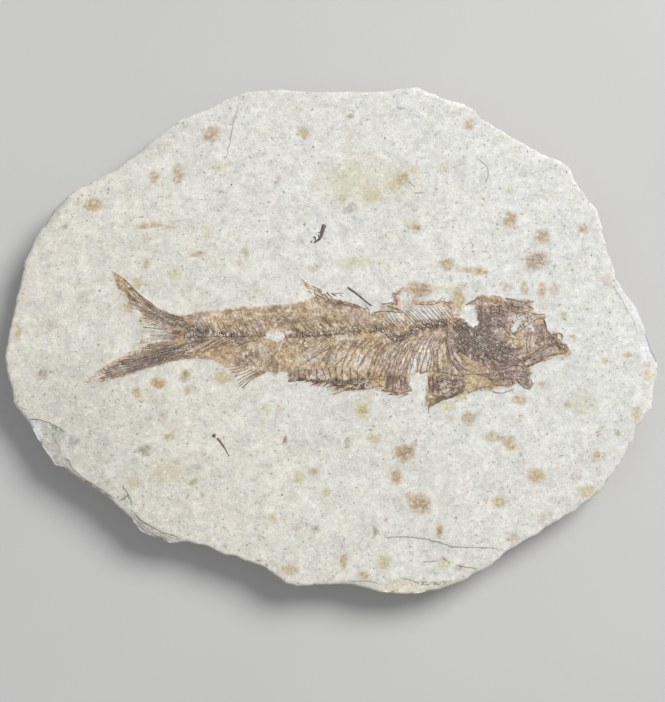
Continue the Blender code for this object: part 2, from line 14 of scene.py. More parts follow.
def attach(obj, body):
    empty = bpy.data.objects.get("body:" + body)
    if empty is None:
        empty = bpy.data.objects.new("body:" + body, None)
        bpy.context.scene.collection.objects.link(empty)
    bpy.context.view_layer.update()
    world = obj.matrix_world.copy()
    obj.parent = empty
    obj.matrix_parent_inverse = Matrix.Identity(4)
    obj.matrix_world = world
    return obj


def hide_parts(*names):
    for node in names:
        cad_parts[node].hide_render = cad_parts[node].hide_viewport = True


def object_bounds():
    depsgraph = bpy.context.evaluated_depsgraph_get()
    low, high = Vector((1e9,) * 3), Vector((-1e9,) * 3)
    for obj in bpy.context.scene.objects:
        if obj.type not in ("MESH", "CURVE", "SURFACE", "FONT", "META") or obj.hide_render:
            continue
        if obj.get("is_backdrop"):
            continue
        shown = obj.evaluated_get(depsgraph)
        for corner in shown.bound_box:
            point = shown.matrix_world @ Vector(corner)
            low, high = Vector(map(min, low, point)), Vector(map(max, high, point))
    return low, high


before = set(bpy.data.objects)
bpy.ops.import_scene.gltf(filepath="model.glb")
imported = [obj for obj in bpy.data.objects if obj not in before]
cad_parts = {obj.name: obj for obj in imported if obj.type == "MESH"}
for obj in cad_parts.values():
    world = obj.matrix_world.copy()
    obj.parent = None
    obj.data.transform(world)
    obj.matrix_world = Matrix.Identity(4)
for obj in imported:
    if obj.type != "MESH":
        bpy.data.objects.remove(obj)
cad_low, cad_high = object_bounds()


# ------------------------------------------------------------------------------
# The slab. One plate of pale, fine-bedded limestone, split open along its bedding and trimmed by
# hand, so its face is smooth and dusty and its rim a ragged break through thin beds. Thin laminae
# have flaked off along parts of the rim, and iron has left tan and ochre spots in the stone.
# ------------------------------------------------------------------------------
MM = 0.001
FACE = 10.0                   # the fossil face, above the underside
FACE_CELLS = 252              # cells along each side of the square grid that is bent to the face
UNDERSIDE_CELLS = 63
UNDERSIDE_SHARE = 0.955       # reach of the flat underside, as a share of the face's reach
SIDE_ROWS = 25                # rows of points up the broken edge
SIDE_FOOT = 0.02
SIDE_TOP = 9.3                # where the edge ends and the face's own rim starts
RIM_HEIGHT = 9.0              # where the rim is felt for
HALF_SIZE = (80.0, 62.0)      # of the ellipse that is nearest to the outline
CAST_FROM = 130.0             # how far out the edge is felt for
RIM_CHIP = 0.16               # how ragged the rim is
BED_STEP = 0.3                # how far one thin bed stands out past the next
FLAKE_REACH = 12.0            # how far in from its break line a flaked patch can lie

# Break lines of the flaked laminae, in from the rim.
FLAKE_LINES = (
    ((-79.5, -16.4), (-77.4, -18.2), (-75.2, -20.9), (-72.8, -21.3), (-70, -22.2), (-66.3, -24.2),
     (-66.2, -25.4), (-67.2, -27.6), (-67, -30.2), (-65, -31.6), (-63.9, -33.7), (-61.5, -35.9),
     (-57.5, -38.3), (-53.6, -41), (-52, -42.9)), ((-50.6, -44.3), (-48.8, -43.9), (-47.6, -45),
     (-46.2, -46.4), (-43.6, -48.1), (-40.4, -49.3), (-37, -50.2), (-33.6, -51.7)), ((1.5, -61.5),
     (4, -61.1), (9, -61.3), (12, -61.8), (14.5, -61.5), (17, -60.4), (20.5, -61), (24, -61.6),
     (28.5, -61.2), (33.4, -60.3)), ((71.6, 15), (73, 10.6), (73.6, 8.2), (75.3, 5.4), (76.2, 3),
     (76.8, -1), (77.9, -5), (78.8, -8.5), (80, -12), (80.4, -14.2)), ((-77.4, 17), (-75.3, 21.4),
     (-74.2, 23), (-71.8, 26.2), (-68.4, 31.2), (-66.2, 34.6), (-64.9, 37)),
)
LAMINAE = ((0.0, 0.2), (0.75, 0.16), (1.7, 0.14))   # each one's break past the line, and its thickness
# Low steps in the face itself, from the higher side seen along the line to the lower right.
UPPER_STEP = ((-23.5, 60), (-24.3, 56.5), (-25, 53.5), (-25.4, 51), (-26, 48), (-26.5, 45))
LOWER_STEP = ((11.5, -50.8), (15.5, -50.4), (19, -50.3), (24, -50.9), (27, -51.8), (30, -52.8), (35, -53),
              (40, -53.1), (43, -53.9))
SHORT_STEP = ((20.5, 36.3), (24, 36.5))
FACE_STEPS = (((37, 45.5), (39.8, 43), (39.8, 41), (39, 38.5)), UPPER_STEP, LOWER_STEP, SHORT_STEP)
FACE_STEP_HEIGHT = 0.1
# Specks of dark iron ore: middle and radius.
SPECKS = (
    (-65.1, 30, 0.34), (-65.5, 30.8, 0.26), (-25.1, 38.5, 0.34), (-45.3, 32.4, 0.3), (-60.5, 2.5, 0.32),
    (-56.6, 2.6, 0.3), (-4.4, 48.3, 0.32), (13.8, 50.5, 0.34), (65.6, 20.2, 0.3), (-71.3, -15, 0.34),
    (-12, -40, 0.3), (-29, -25.3, 0.55), (-53.3, 0.3, 0.28), (-43.2, 9.8, 0.3), (58, -38, 0.26),
    (46.2, 14.8, 0.26), (2.6, -37, 0.3), (10.4, -37.2, 0.3), (19, -37.2, 0.26), (-10.6, -15.9, 0.24),
    (51.2, -10.3, 0.26), (25, -31, 0.26), (-33.4, 44, 0.26), (28.4, 36.6, 0.24), (-56, -20.4, 0.28),
    (57.4, 34.2, 0.26), (-16, 26.4, 0.24), (36.4, -47.4, 0.28), (-20.6, -52.4, 0.28), (70.2, 1.6, 0.24),
)
# Hairline cracks and bedding breaks in the face, darkened along their lines with painted shade: the
# strength of that shade, and the line.
SHADED_BREAK_LINES = (
    (0.6, UPPER_STEP), (0.85, ((37, 45.5), (38.6, 44.2), (39.8, 43), (40, 41), (39, 38.5))),
    (0.7, ((19.6, 39.2), (20.6, 38.6), (21.4, 37.8))), (0.6, SHORT_STEP),
    (0.6, ((16.6, 58.8), (17.5, 58.2), (18.8, 58.6))), (0.5, ((-78, -18), (-75.2, -19))),
    (0.8, ((-75.5, -21.2), (-73, -21.2), (-70, -22.1), (-68, -23.1), (-66.5, -23.9), (-66, -25))),
    (0.7, ((-70, -22.6), (-68, -24))), (0.55, ((-69.5, -25), (-67.5, -28), (-67, -30.2))),
    (0.75, ((-67, -30.2), (-65, -31.6), (-64, -33.5), (-61.5, -35.8), (-57, -38.5), (-52.5, -41.6))),
    (0.9, ((-51.6, -37.6), (-50, -40), (-51, -41), (-52.5, -41.7))),
    (0.8, ((-50, -40), (-49.4, -41.2), (-49, -42.5))), (0.8, ((-49, -44), (-47, -46.3), (-44, -48),
     (-41, -49.5), (-37, -50.5))), (0.7, ((-50.4, -45.2), (-48.2, -47.2), (-45.2, -49), (-42.4, -50.4),
     (-39, -51.6))), (0.75, LOWER_STEP), (0.7, ((22.5, -56.4), (26.5, -56.3))),
    (0.7, ((27.2, -55), (28.4, -56.1), (29.5, -56.9))), (0.75, ((30.5, -57.2), (33, -57.8), (36.3, -58.1))),
    (0.6, ((4, -61.2), (10, -61.2), (12, -61.8))),
    (0.7, ((17, -60.4), (19.5, -60.8), (22.5, -62.1), (28.5, -61.9))),
    (0.6, ((21.5, -61.2), (26, -61.5), (30, -61))), (0.45, ((70.5, 13), (73, 9), (76.2, 3), (77, -1))),
)

# Iron and clay stains in the face: middle, size along X and Y, kind and strength.
STAIN_COLORS = {
    "tan": (190, 163, 122), "ochre": (188, 164, 104), "yellow": (206, 192, 132), "olive": (166, 148, 90),
    "brown": (146, 122, 98), "pink": (196, 176, 158), "grey": (148, 146, 142), "white": (246, 246, 246),
    "dark": (88, 84, 80), "cream": (226, 215, 180),
}
STAINS = (
    (-30, 51.5, 3.6, 4.1, "tan", 0.8), (-31.2, 50.6, 1.6, 1.6, "brown", 0.5),
    (-42, 48, 2.2, 2, "yellow", 0.3), (-44.7, 40.5, 2.2, 3.4, "tan", 0.85),
    (-38.7, 41, 2.7, 4.3, "tan", 0.8), (-28.5, 43, 3, 2.8, "yellow", 0.4),
    (-28.7, 43.2, 1.6, 0.5, "brown", 0.6), (-60.2, 33.2, 4, 3.4, "ochre", 0.75),
    (-47.5, 27.4, 2.2, 1.5, "tan", 0.7), (-44.8, 28.1, 3.2, 1.4, "tan", 0.75),
    (-42.4, 27.8, 3, 1.2, "ochre", 0.65), (-39.6, 27.6, 2.2, 0.9, "tan", 0.6),
    (-46.4, 24, 2, 1.6, "yellow", 0.4), (-33.3, 20.7, 3.5, 1.6, "tan", 0.75),
    (-35.4, 20.4, 1.4, 1.2, "tan", 0.6), (-31, 26.5, 3, 2.4, "yellow", 0.4),
    (-46.3, 18, 2, 2.5, "tan", 0.7), (-38.8, 15.4, 2.4, 3, "yellow", 0.6),
    (-48.6, 13.1, 3, 2.4, "yellow", 0.65), (-50.9, 6.7, 2.8, 2.4, "yellow", 0.8),
    (-78.3, 1, 1.3, 4, "ochre", 0.7), (-70, 3, 3.2, 2.6, "pink", 0.5), (-68.3, 10, 2, 1.7, "grey", 0.4),
    (-67, 27.6, 1.3, 1.1, "olive", 0.7), (-71.8, -9.8, 2.3, 2, "brown", 0.65),
    (-63.8, -26.6, 2.9, 2.5, "grey", 0.55), (-48.2, -14.5, 1.6, 2.6, "ochre", 0.75),
    (-43.1, -12.1, 3.4, 2.7, "ochre", 0.95), (-43.5, -12.3, 2, 1.6, "olive", 0.5),
    (-36.3, -10, 2.5, 2.8, "olive", 0.85), (-35.5, -13.8, 2, 2.6, "tan", 0.55),
    (-26.8, -10.8, 4.4, 2.8, "yellow", 0.75), (-45.9, -28.9, 2.8, 2.5, "brown", 0.6),
    (-40.2, -25.3, 2, 1.9, "ochre", 0.75), (-33.7, -36.9, 2.1, 2, "olive", 0.8),
    (-31.5, -40, 1.2, 1.2, "olive", 0.6), (-33, -33, 2.2, 1, "dark", 0.35),
    (-11.2, -26.6, 1.1, 2.1, "brown", 0.9), (-14.3, -45.7, 2.2, 2, "yellow", 0.7),
    (-10, -58.2, 4, 3, "ochre", 0.6), (-40, -34, 9, 6, "yellow", 0.25), (-7, 51.9, 3.3, 2.8, "ochre", 0.65),
    (5, 56.1, 1.3, 1.2, "olive", 0.8), (-13.5, 39.5, 1.2, 2.5, "ochre", 0.5),
    (9, 39, 24, 11, "yellow", 0.3), (10.5, 36, 5.2, 4, "yellow", 0.45), (16, 38.5, 4, 3, "yellow", 0.4),
    (4.5, 46, 3, 12, "yellow", 0.2), (35.5, 54.2, 2.7, 2.4, "tan", 0.75),
    (18.3, 40, 3.6, 3.2, "ochre", 0.75), (21, 42.5, 3, 2.4, "yellow", 0.4),
    (28.5, 43, 2.5, 2.2, "yellow", 0.4), (45.2, 37.4, 2, 1.8, "yellow", 0.6),
    (45.5, 29.3, 3.2, 4, "tan", 0.9), (53.3, 25, 3.6, 3.3, "tan", 0.85), (63.8, 27, 2.5, 2.4, "tan", 0.75),
    (51.6, 18.6, 6.4, 4.6, "pink", 0.85), (51.4, 18.8, 5, 3.2, "brown", 0.5),
    (48.9, 11.7, 2, 3, "olive", 0.6), (53, 11.7, 2.2, 4, "tan", 0.75), (56.2, 11.7, 2.6, 3, "tan", 0.55),
    (53, 7.2, 2.6, 2, "yellow", 0.4), (58.3, 4.9, 1.6, 2.4, "olive", 0.7),
    (69.5, 13.8, 3, 2.6, "pink", 0.5), (61, -0.6, 1.6, 2.4, "ochre", 0.5),
    (52.8, -12.8, 1.9, 3, "tan", 0.65), (47.1, -16.3, 3.8, 2.6, "ochre", 0.75),
    (52.8, -21.8, 2.2, 2, "yellow", 0.4), (59.3, -17.4, 1.6, 1.5, "olive", 0.6),
    (68.4, -6.7, 1.6, 2, "yellow", 0.6), (74.2, -5.3, 2, 1.8, "ochre", 0.75),
    (79.3, -7.5, 2, 2, "pink", 0.6), (79.5, -10, 2.6, 2.8, "yellow", 0.6),
    (76.2, -19.8, 1.7, 3.2, "ochre", 0.6), (71.5, -24.6, 1.4, 1.3, "olive", 0.7),
    (66.2, -24.7, 0.9, 0.9, "brown", 0.8), (67.4, -23.2, 0.8, 0.8, "brown", 0.7),
    (66.4, -30.6, 3.1, 2.6, "ochre", 0.8), (57.2, -30.4, 1.3, 0.6, "dark", 0.7),
    (51, -35.2, 3.9, 3.3, "ochre", 0.8), (60.5, -36, 3, 2, "olive", 0.35),
    (63.7, -38.9, 4.6, 3, "yellow", 0.75), (44.7, -27.3, 3.5, 4, "ochre", 0.8),
    (40, -25.5, 4, 2.2, "ochre", 0.55), (42.2, -26.2, 2.4, 1.4, "olive", 0.5),
    (34.3, -20.8, 3.4, 3, "tan", 0.85), (53.3, -45, 3, 2, "pink", 0.5), (63, -17, 7, 7, "yellow", 0.25),
    (-7.5, -36, 2.8, 2.5, "yellow", 0.75), (-4, -34.5, 2.6, 2, "tan", 0.7),
    (-1, -39.3, 2, 1.8, "yellow", 0.65), (16.4, -35.5, 2.8, 3.2, "tan", 0.9),
    (18.3, -29.6, 4.6, 4.2, "tan", 1), (18.6, -29.3, 2.3, 2, "brown", 0.6),
    (22, -42.3, 4.6, 4.4, "tan", 0.9), (19.5, -40.5, 1.6, 1.6, "tan", 0.7),
    (22.6, -42.3, 1.8, 1.6, "brown", 0.4), (13.7, -45.8, 1.1, 1, "olive", 0.7),
    (11, -49.3, 1.5, 2.5, "brown", 0.75), (-3.8, -48.3, 2.1, 1.9, "brown", 0.7),
    (-8.5, -48.7, 3, 1.1, "tan", 0.4), (3.4, -56.5, 2.2, 3.5, "ochre", 0.75),
    (3.4, -55.3, 1.4, 1, "brown", 0.6), (13.1, -56.8, 2.8, 3.1, "yellow", 0.8),
    (8.2, -59.9, 2.6, 2, "ochre", 0.75), (27, -48.8, 1.8, 3, "ochre", 0.85),
    (27, -48.9, 1, 1.6, "brown", 0.5), (28, -57, 3, 2.6, "yellow", 0.75), (32, -57.8, 2, 1.2, "tan", 0.7),
    (38.3, -41.3, 1.5, 1.4, "tan", 0.6), (41.8, -41.8, 3, 2.7, "ochre", 0.8),
    (44.6, -50.5, 3.2, 2.8, "pink", 0.75), (8.3, -19, 3.6, 4.2, "yellow", 0.8),
    (8.3, -19, 1.8, 2.2, "olive", 0.6), (-18, 11.2, 2.4, 1.8, "yellow", 0.4),
    (29.1, 18.1, 3.2, 3, "tan", 0.85), (36, 16.3, 7.6, 1.5, "tan", 0.75),
    (37.6, 16.5, 3.4, 1.9, "ochre", 0.5), (5, 32.5, 3.5, 2.6, "brown", 0.5),
    (-7.5, 24, 1.5, 1.5, "ochre", 0.5), (21.4, 27.4, 3.4, 3.2, "tan", 0.8),
    (21.8, 27.2, 1.8, 1.6, "brown", 0.3), (27.5, -15.9, 5, 1.6, "tan", 0.2),
    (2.8, 34.8, 2.2, 1.8, "ochre", 0.55), (29, -17.7, 4, 2.4, "yellow", 0.6),
    (32.5, -16, 2.4, 2, "ochre", 0.5), (-43.7, -44.6, 1.4, 1.2, "white", 0.9),
    (-0.2, -47, 1.6, 1.1, "white", 0.8), (33.5, -38, 1.3, 1.1, "white", 0.9),
    (41, 35.3, 1.3, 1, "white", 0.8), (19, 60, 3.4, 2, "white", 0.7), (-60, 22, 1.4, 1.2, "white", 0.8),
    (-54.8, -34.5, 2.6, 2.2, "white", 0.6), (-53.3, -35.6, 1.2, 0.9, "dark", 0.35),
    (22.6, 11.8, 7.4, 3, "tan", 0.95), (23.2, 11.8, 3.6, 2, "brown", 0.45),
    (32.2, 9, 2.8, 7, "ochre", 0.85), (28.4, 11.6, 5.4, 1.6, "yellow", 0.4),
    (44.3, 12.2, 2.4, 2.4, "tan", 0.4), (29.5, -21, 2, 2, "tan", 0.6), (9.5, -15.4, 2, 3, "yellow", 0.4),
    (4, 18.5, 5, 3, "yellow", 0.35), (8, 18.3, 6, 3, "yellow", 0.3), (12.9, 18.4, 2, 1.5, "yellow", 0.5),
    (-22.6, 18.1, 2.4, 2, "tan", 0.4), (-21.7, 21.3, 1.6, 2, "olive", 0.6),
    (-4.2, 17.2, 3, 1.6, "olive", 0.5), (-5.1, 19.3, 3, 2.5, "white", 0.6),
    (-45.6, -15.4, 3, 3, "yellow", 0.35), (-41.3, -20, 2.2, 2, "tan", 0.45),
    (-45.4, -21.1, 1.6, 1.4, "brown", 0.5), (-16, -18.6, 2, 3, "yellow", 0.5),
    (-12.6, -18.8, 1.8, 2, "yellow", 0.45), (20.5, -27.6, 1.8, 1.8, "tan", 0.7),
    (4.2, -27, 1.8, 2.6, "olive", 0.6), (11, -26, 3.2, 2.6, "yellow", 0.7),
    (-48.8, -37, 3.4, 3, "tan", 0.4), (-55.2, -36.8, 1.4, 1.8, "brown", 0.35),
    (-12.8, 0, 4, 3.4, "white", 0.4),
)


def linear(color):
    """A display colour, 0 to 255, as the linear values that a shader takes."""
    share = np.asarray(color, float) / 255.0
    return np.where(share <= 0.04045, share / 12.92, ((share + 0.055) / 1.055) ** 2.4)


def noise(x, y, size, seed):
    """Smooth noise from -1 to 1 with lumps about size wide."""
    gx, gy = x / size + 31.7 * seed, y / size - 17.3 * seed
    ix, iy = np.floor(gx), np.floor(gy)
    fx, fy = gx - ix, gy - iy
    fx, fy = fx * fx * (3 - 2 * fx), fy * fy * (3 - 2 * fy)

    def corner(dx, dy):
        mixed = np.sin((ix + dx) * 127.1 + (iy + dy) * 311.7 + seed * 74.7) * 43758.5453
        return mixed - np.floor(mixed)

    low = corner(0, 0) * (1 - fx) + corner(1, 0) * fx
    high = corner(0, 1) * (1 - fx) + corner(1, 1) * fx
    return 2 * (low * (1 - fy) + high * fy) - 1


def ramp(value, start, end):
    """0 before start, 1 after end, and smooth between."""
    share = np.clip((value - start) / (end - start), 0, 1)
    return share * share * (3 - 2 * share)


def shaken(x, y, seed, *layers):
    """Places moved aside by noise: the strength and size of each layer."""
    moved = []
    for axis in (x, y):
        for strength, size in layers:
            axis = axis + strength * noise(x, y, size, seed)
            seed += 1
        moved.append(axis)
    return moved


def close_to(x, y, spot, reach_x, reach_y):
    """Which points lie within reach of a spot."""
    return (abs(x - spot[0]) < reach_x) & (abs(y - spot[1]) < reach_y)


def laid(color, over, soak):
    """A colour with another one laid over it."""
    return color + (over - color) * soak[..., None]


def within_ends(share, fade):
    """1 along a line, and 0 at its two ends."""
    return ramp(share, 0, fade) * ramp(1 - share, 0, fade)


def nearest(x, y, line):
    """Distance to a broken line, how far past it from the slab's middle, share along it, and side."""
    best = np.full(x.shape, 1e9)
    past = np.zeros(x.shape)
    share = np.zeros(x.shape)
    sides = np.zeros(x.shape)
    lengths = [math.dist(a, b) for a, b in zip(line, line[1:])]
    done = 0.0
    for (x0, y0), (x1, y1), length in zip(line, line[1:], lengths):
        ux, uy = (x1 - x0) / length, (y1 - y0) / length
        along = np.clip((x - x0) * ux + (y - y0) * uy, 0, length)
        px, py = x0 + along * ux, y0 + along * uy
        distance = np.hypot(x - px, y - py)
        turn = 1.0 if uy * px.mean() - ux * py.mean() > 0 else -1.0
        side = np.sign((x - px) * uy - (y - py) * ux)
        closer = distance < best
        best = np.where(closer, distance, best)
        past = np.where(closer, distance * side * turn, past)
        sides = np.where(closer, side, sides)
        share = np.where(closer, (done + along) / sum(lengths), share)
        done += length
    return best, past, share, sides


def flaked_depth(x, y):
    """How far the stone lies below the face where its top laminae have flaked off."""
    depth = np.zeros(x.shape)
    ragged = 0.35 * noise(x, y, 3.1, 41) + 0.2 * noise(x, y, 1.3, 42)
    for line in FLAKE_LINES:
        distance, past, share, side = nearest(x, y, line)
        inside = (share > 0.001) & (share < 0.999) & (distance < FLAKE_REACH)
        past = np.where(inside, past + ragged * ramp(distance, 0, 0.8), -1)
        gone = sum(thickness * ramp(past, start, start + 0.3) for start, thickness in LAMINAE)
        depth = np.maximum(depth, gone)
    return depth


def face_height(x, y):
    """Height of the fossil face: long waves, small bumps and the low steps between laminae."""
    height = FACE + 0.09 * noise(x, y, 27, 1) + 0.05 * noise(x, y, 8, 2)
    height = height + 0.03 * noise(x, y, 2.7, 3) + 0.02 * noise(x, y, 1.2, 4)
    for line in FACE_STEPS:
        distance, past, share, side = nearest(x, y, line)
        reach = within_ends(share, 0.2) * (1 - ramp(distance, 2, 7))
        height = height - FACE_STEP_HEIGHT * reach * ramp(past, -0.1, 0.3)
    return height


def stone_tone(x, y):
    """Mean colour of the face: its clouds, its breaks and a painted shade to the lower left, before the
    grain that the material adds.
    """
    cloud = noise(x, y, 14, 11) + 0.5 * noise(x, y, 5, 12)
    cool = ramp(0.011 * x + 0.008 * y + 0.25 * noise(x, y, 30, 13), -0.9, 0.8)
    tone = laid(linear((221, 217, 205)), linear((222, 222, 217)), cool)
    # Painted shade: the lower left of the face is darkened by up to a tenth, as if it lay further from the
    # lamp.
    painted_shade_lower_left = 0.1 * ramp(-x, 35, 60) * ramp(-y, 0, 22)
    tone = tone * (1 + 0.03 * cloud - painted_shade_lower_left)[..., None]
    breaks = ramp(flaked_depth(x, y), 0.05, 0.25)
    cold = ((x > 40) | (x < -72))[..., None]
    broken = np.where(cold, linear((216, 220, 224)), linear((190, 188, 178)))
    broken = np.where((y < -58)[..., None], linear((226, 218, 190)), broken)
    tone = laid(tone, broken, 0.75 * breaks * (0.8 + 0.4 * noise(x, y, 1.7, 31)))
    return np.clip(tone, 0, 1)


def stone_stains(x, y):
    """Colour and strength of the stains at points of the face."""
    wx, wy = shaken(x, y, 21, (0.45, 1.5), (0.2, 0.7))
    color = np.broadcast_to(linear(STAIN_COLORS["tan"]), x.shape + (3,)).copy()
    soaked = np.zeros(x.shape)
    for *middle, width, height, kind, strength in STAINS:
        near = close_to(x, y, middle, width, height)
        radius = np.hypot((wx[near] - middle[0]) / (0.5 * width), (wy[near] - middle[1]) / (0.5 * height))
        soak = strength * (1 - ramp(radius, 0.55, 1.5))
        both = soak + soaked[near] * (1 - soak)
        part = np.divide(soak, both, out=np.zeros_like(soak), where=both > 0)
        color[near] = laid(color[near], linear(STAIN_COLORS[kind]), part)
        soaked[near] = both
    return color, soaked


def painted_break_shading(x, y):
    """Distance to the nearest crack, negative on one side of it, and the strength of the painted shade
    along it.
    """
    gap = np.full(x.shape, 9.0)
    shading_strength = np.zeros(x.shape)
    for strength, line in SHADED_BREAK_LINES:
        distance, past, share, side = nearest(x, y, line)
        closer = distance < abs(gap)
        gap = np.where(closer, distance * side, gap)
        shading_strength = np.where(closer, strength * within_ends(share, 0.12), shading_strength)
    return gap, shading_strength


def dress_stone(mesh, x, y):
    """Stores what the stone's material reads at each point."""
    speck = np.full(x.shape, -9.0)
    for spot_x, spot_y, radius in SPECKS:
        speck = np.maximum(speck, radius - np.hypot(x - spot_x, y - spot_y))
    gap, shading_strength = painted_break_shading(x, y)
    color, soaked = stone_stains(x, y)
    store(mesh, speck=speck, crack_gap=gap, crack_dark=shading_strength)
    store(mesh, tone=stone_tone(x, y), stain=color, soak=soaked)


def new_object(name, vertices, faces, material, smooth=True):
    """A mesh object, from millimetres, at the origin."""
    mesh = bpy.data.meshes.new(name)
    mesh.from_pydata((np.asarray(vertices) * MM).tolist(), [], faces)
    mesh.polygons.foreach_set("use_smooth", [smooth] * len(mesh.polygons))
    mesh.materials.append(material)
    mesh.update()
    made = bpy.data.objects.new(name, mesh)
    bpy.context.scene.collection.objects.link(made)
    return made


def store(mesh, **named):
    """Keeps a number or a linear colour under each name for every point of a mesh."""
    for name, values in named.items():
        kind, field = "FLOAT", "value"
        if values.ndim == 2:
            kind, field = "FLOAT_COLOR", "color"
            values = np.concatenate([values, np.ones((len(values), 1))], 1)
        data = mesh.attributes.new(name, kind, "POINT").data
        data.foreach_set(field, values.astype(np.float32).ravel())


class Wire:
    """A shader socket that adds up like a number: each sign between wires is one Math node."""

    def __init__(self, tree, socket=None):
        self.tree = tree
        self.socket = socket

    def node(self, kind, settings=None, sockets=None, output=0):
        """Adds a node: its settings first, then a value or a wire for each named or numbered socket."""
        made = self.tree.nodes.new(kind)
        for name, value in (settings or {}).items():
            if name == "stops":
                made.color_ramp.elements.remove(made.color_ramp.elements[1])
                made.color_ramp.elements[0].position = value[0][0]
                made.color_ramp.elements[0].color = value[0][1]
                for position, color in value[1:]:
                    made.color_ramp.elements.new(position).color = color
            else:
                setattr(made, name, value)
        for name, value in (sockets or {}).items():
            if isinstance(value, Wire):
                self.tree.links.new(value.socket, made.inputs[name])
            else:
                made.inputs[name].default_value = value
        return Wire(self.tree, made.outputs[output])

    def other(self, output):
        """Another output of the same node."""
        return Wire(self.tree, self.socket.node.outputs[output])

    def math(self, operation, *values):
        return self.node("ShaderNodeMath", {"operation": operation}, dict(enumerate(values)))

    def vector(self, operation, *values, **named):
        sockets = {**dict(enumerate(values)), **named}
        return self.node("ShaderNodeVectorMath", {"operation": operation}, sockets)

    def stored(self, name, output="Fac"):
        """What a mesh keeps under a name at each point."""
        return self.node("ShaderNodeAttribute", {"attribute_name": name}, {}, output)

    def __add__(self, other):
        return self.math("ADD", self, other)

    def __radd__(self, other):
        return self.math("ADD", other, self)

    def __sub__(self, other):
        return self.math("SUBTRACT", self, other)

    def __rsub__(self, other):
        return self.math("SUBTRACT", other, self)

    def __mul__(self, other):
        return self.math("MULTIPLY", self, other)

    def __rmul__(self, other):
        return self.math("MULTIPLY", other, self)


def step(wire, start, end):
    """0 before start, 1 after end, and smooth between, as nodes."""
    sockets = {"Value": wire, "From Min": start, "From Max": end}
    return wire.node("ShaderNodeMapRange", {"interpolation_type": "SMOOTHSTEP"}, sockets)


def rgba(color):
    return tuple(float(c) for c in linear(color)) + (1.0,)


def blended(first, second, factor, mode="MIX"):
    """Two colours through one Mix node. Each colour, or the factor, may be plain numbers."""
    wire = next(w for w in (first, second, factor) if isinstance(w, Wire))
    first, second = (color if isinstance(color, Wire) else rgba(color) for color in (first, second))
    settings = {"data_type": "RGBA", "blend_type": mode, "clamp_factor": True}
    return wire.node("ShaderNodeMix", settings, {0: factor, 6: first, 7: second}, 2)


def lumps(place, size, detail=2.0, rough=0.5, output=0):
    """Noise with lumps about size millimetres wide, on the piece's own coordinates."""
    sockets = {"Vector": place, "Scale": 1000.0 / size, "Detail": detail, "Roughness": rough}
    return place.node("ShaderNodeTexNoise", {}, sockets, output)


def shaded(color, shade):
    """A colour made lighter or darker by a shade."""
    gray = shade.node("ShaderNodeCombineColor", {}, {0: shade, 1: shade, 2: shade})
    return blended(color, gray, 1.0, "MULTIPLY")


def stone_surface(place):
    """Colour and fine relief of dusty limestone: its mean colour, its stains and its grain."""
    tone, stain, soak = place.stored("tone", 0), place.stored("stain", 0), place.stored("soak")
    broad = lumps(place, 5, 4, 0.6)
    middle = lumps(place, 1.5, 3, 0.65)
    fine = lumps(place, 0.5, 3, 0.8)
    grit = step(fine, 0.34, 0.66)
    shade = 0.27 + 0.6 * broad + 0.72 * middle + 0.22 * grit
    color = shaded(tone, shade)
    hues = place.node("ShaderNodeSeparateColor", {}, {0: lumps(place, 2, 3, 0.65, 1)})
    color = blended(color, (208, 214, 218), step(hues.other(1), 0.46, 0.68) * 0.22)
    color = blended(color, (206, 200, 172), step(hues, 0.5, 0.7) * 0.26)
    pits = lumps(place, 0.9, 2, 0.6)
    pitted = step(pits, 0.6, 0.7) * step(hues.other(2), 0.42, 0.58)
    color = blended(color, (126, 124, 114), pitted * 0.7)
    color = blended(color, (250, 250, 249), (1 - step(pits, 0.3, 0.42)) * 0.6)
    soaked = soak * (0.36 + 0.8 * step(0.5 * fine + 0.5 * pits, 0.38, 0.6))
    color = blended(color, shaded(stain, 0.76 + 0.32 * grit), soaked)
    # Painted shade along the cracks and bedding breaks: a thin dark line, which also lowers the bump there.
    gap, dark = place.stored("crack_gap"), place.stored("crack_dark")
    gap = gap.math("ABSOLUTE", gap + 0.9 * middle - 0.45)
    painted_line_shade = dark * (1 - step(gap, 0.06, 0.24)) * (0.5 + 0.5 * grit)
    color = blended(color, (92, 88, 78), painted_line_shade)
    speck = step(place.stored("speck") + 0.5 * middle - 0.25, -0.08, 0.1)
    color = blended(color, (70, 64, 54), 0.9 * speck)
    return color, shade - 0.35 * pitted - 0.8 * painted_line_shade


def new_material(name):
    """A material, its Principled shader and a wire of the piece's own coordinates."""
    made = bpy.data.materials.new(name)
    made.use_nodes = True
    tree = made.node_tree
    shader = tree.nodes["Principled BSDF"]
    place = Wire(tree).node("ShaderNodeTexCoord", {}, {}, "Object")
    return made, shader, place


def bump(height, strength, distance):
    sockets = {"Strength": strength, "Distance": distance * MM, "Height": height}
    return height.node("ShaderNodeBump", {}, sockets)


def feed(shader, color, roughness, normal=None, specular=0.5):
    """Feeds a material's shader."""
    for name, wire in (("Base Color", color), ("Roughness", roughness), ("Normal", normal)):
        if wire is not None:
            wire.tree.links.new(wire.socket, shader.inputs[name])
    shader.inputs["Specular IOR Level"].default_value = specular


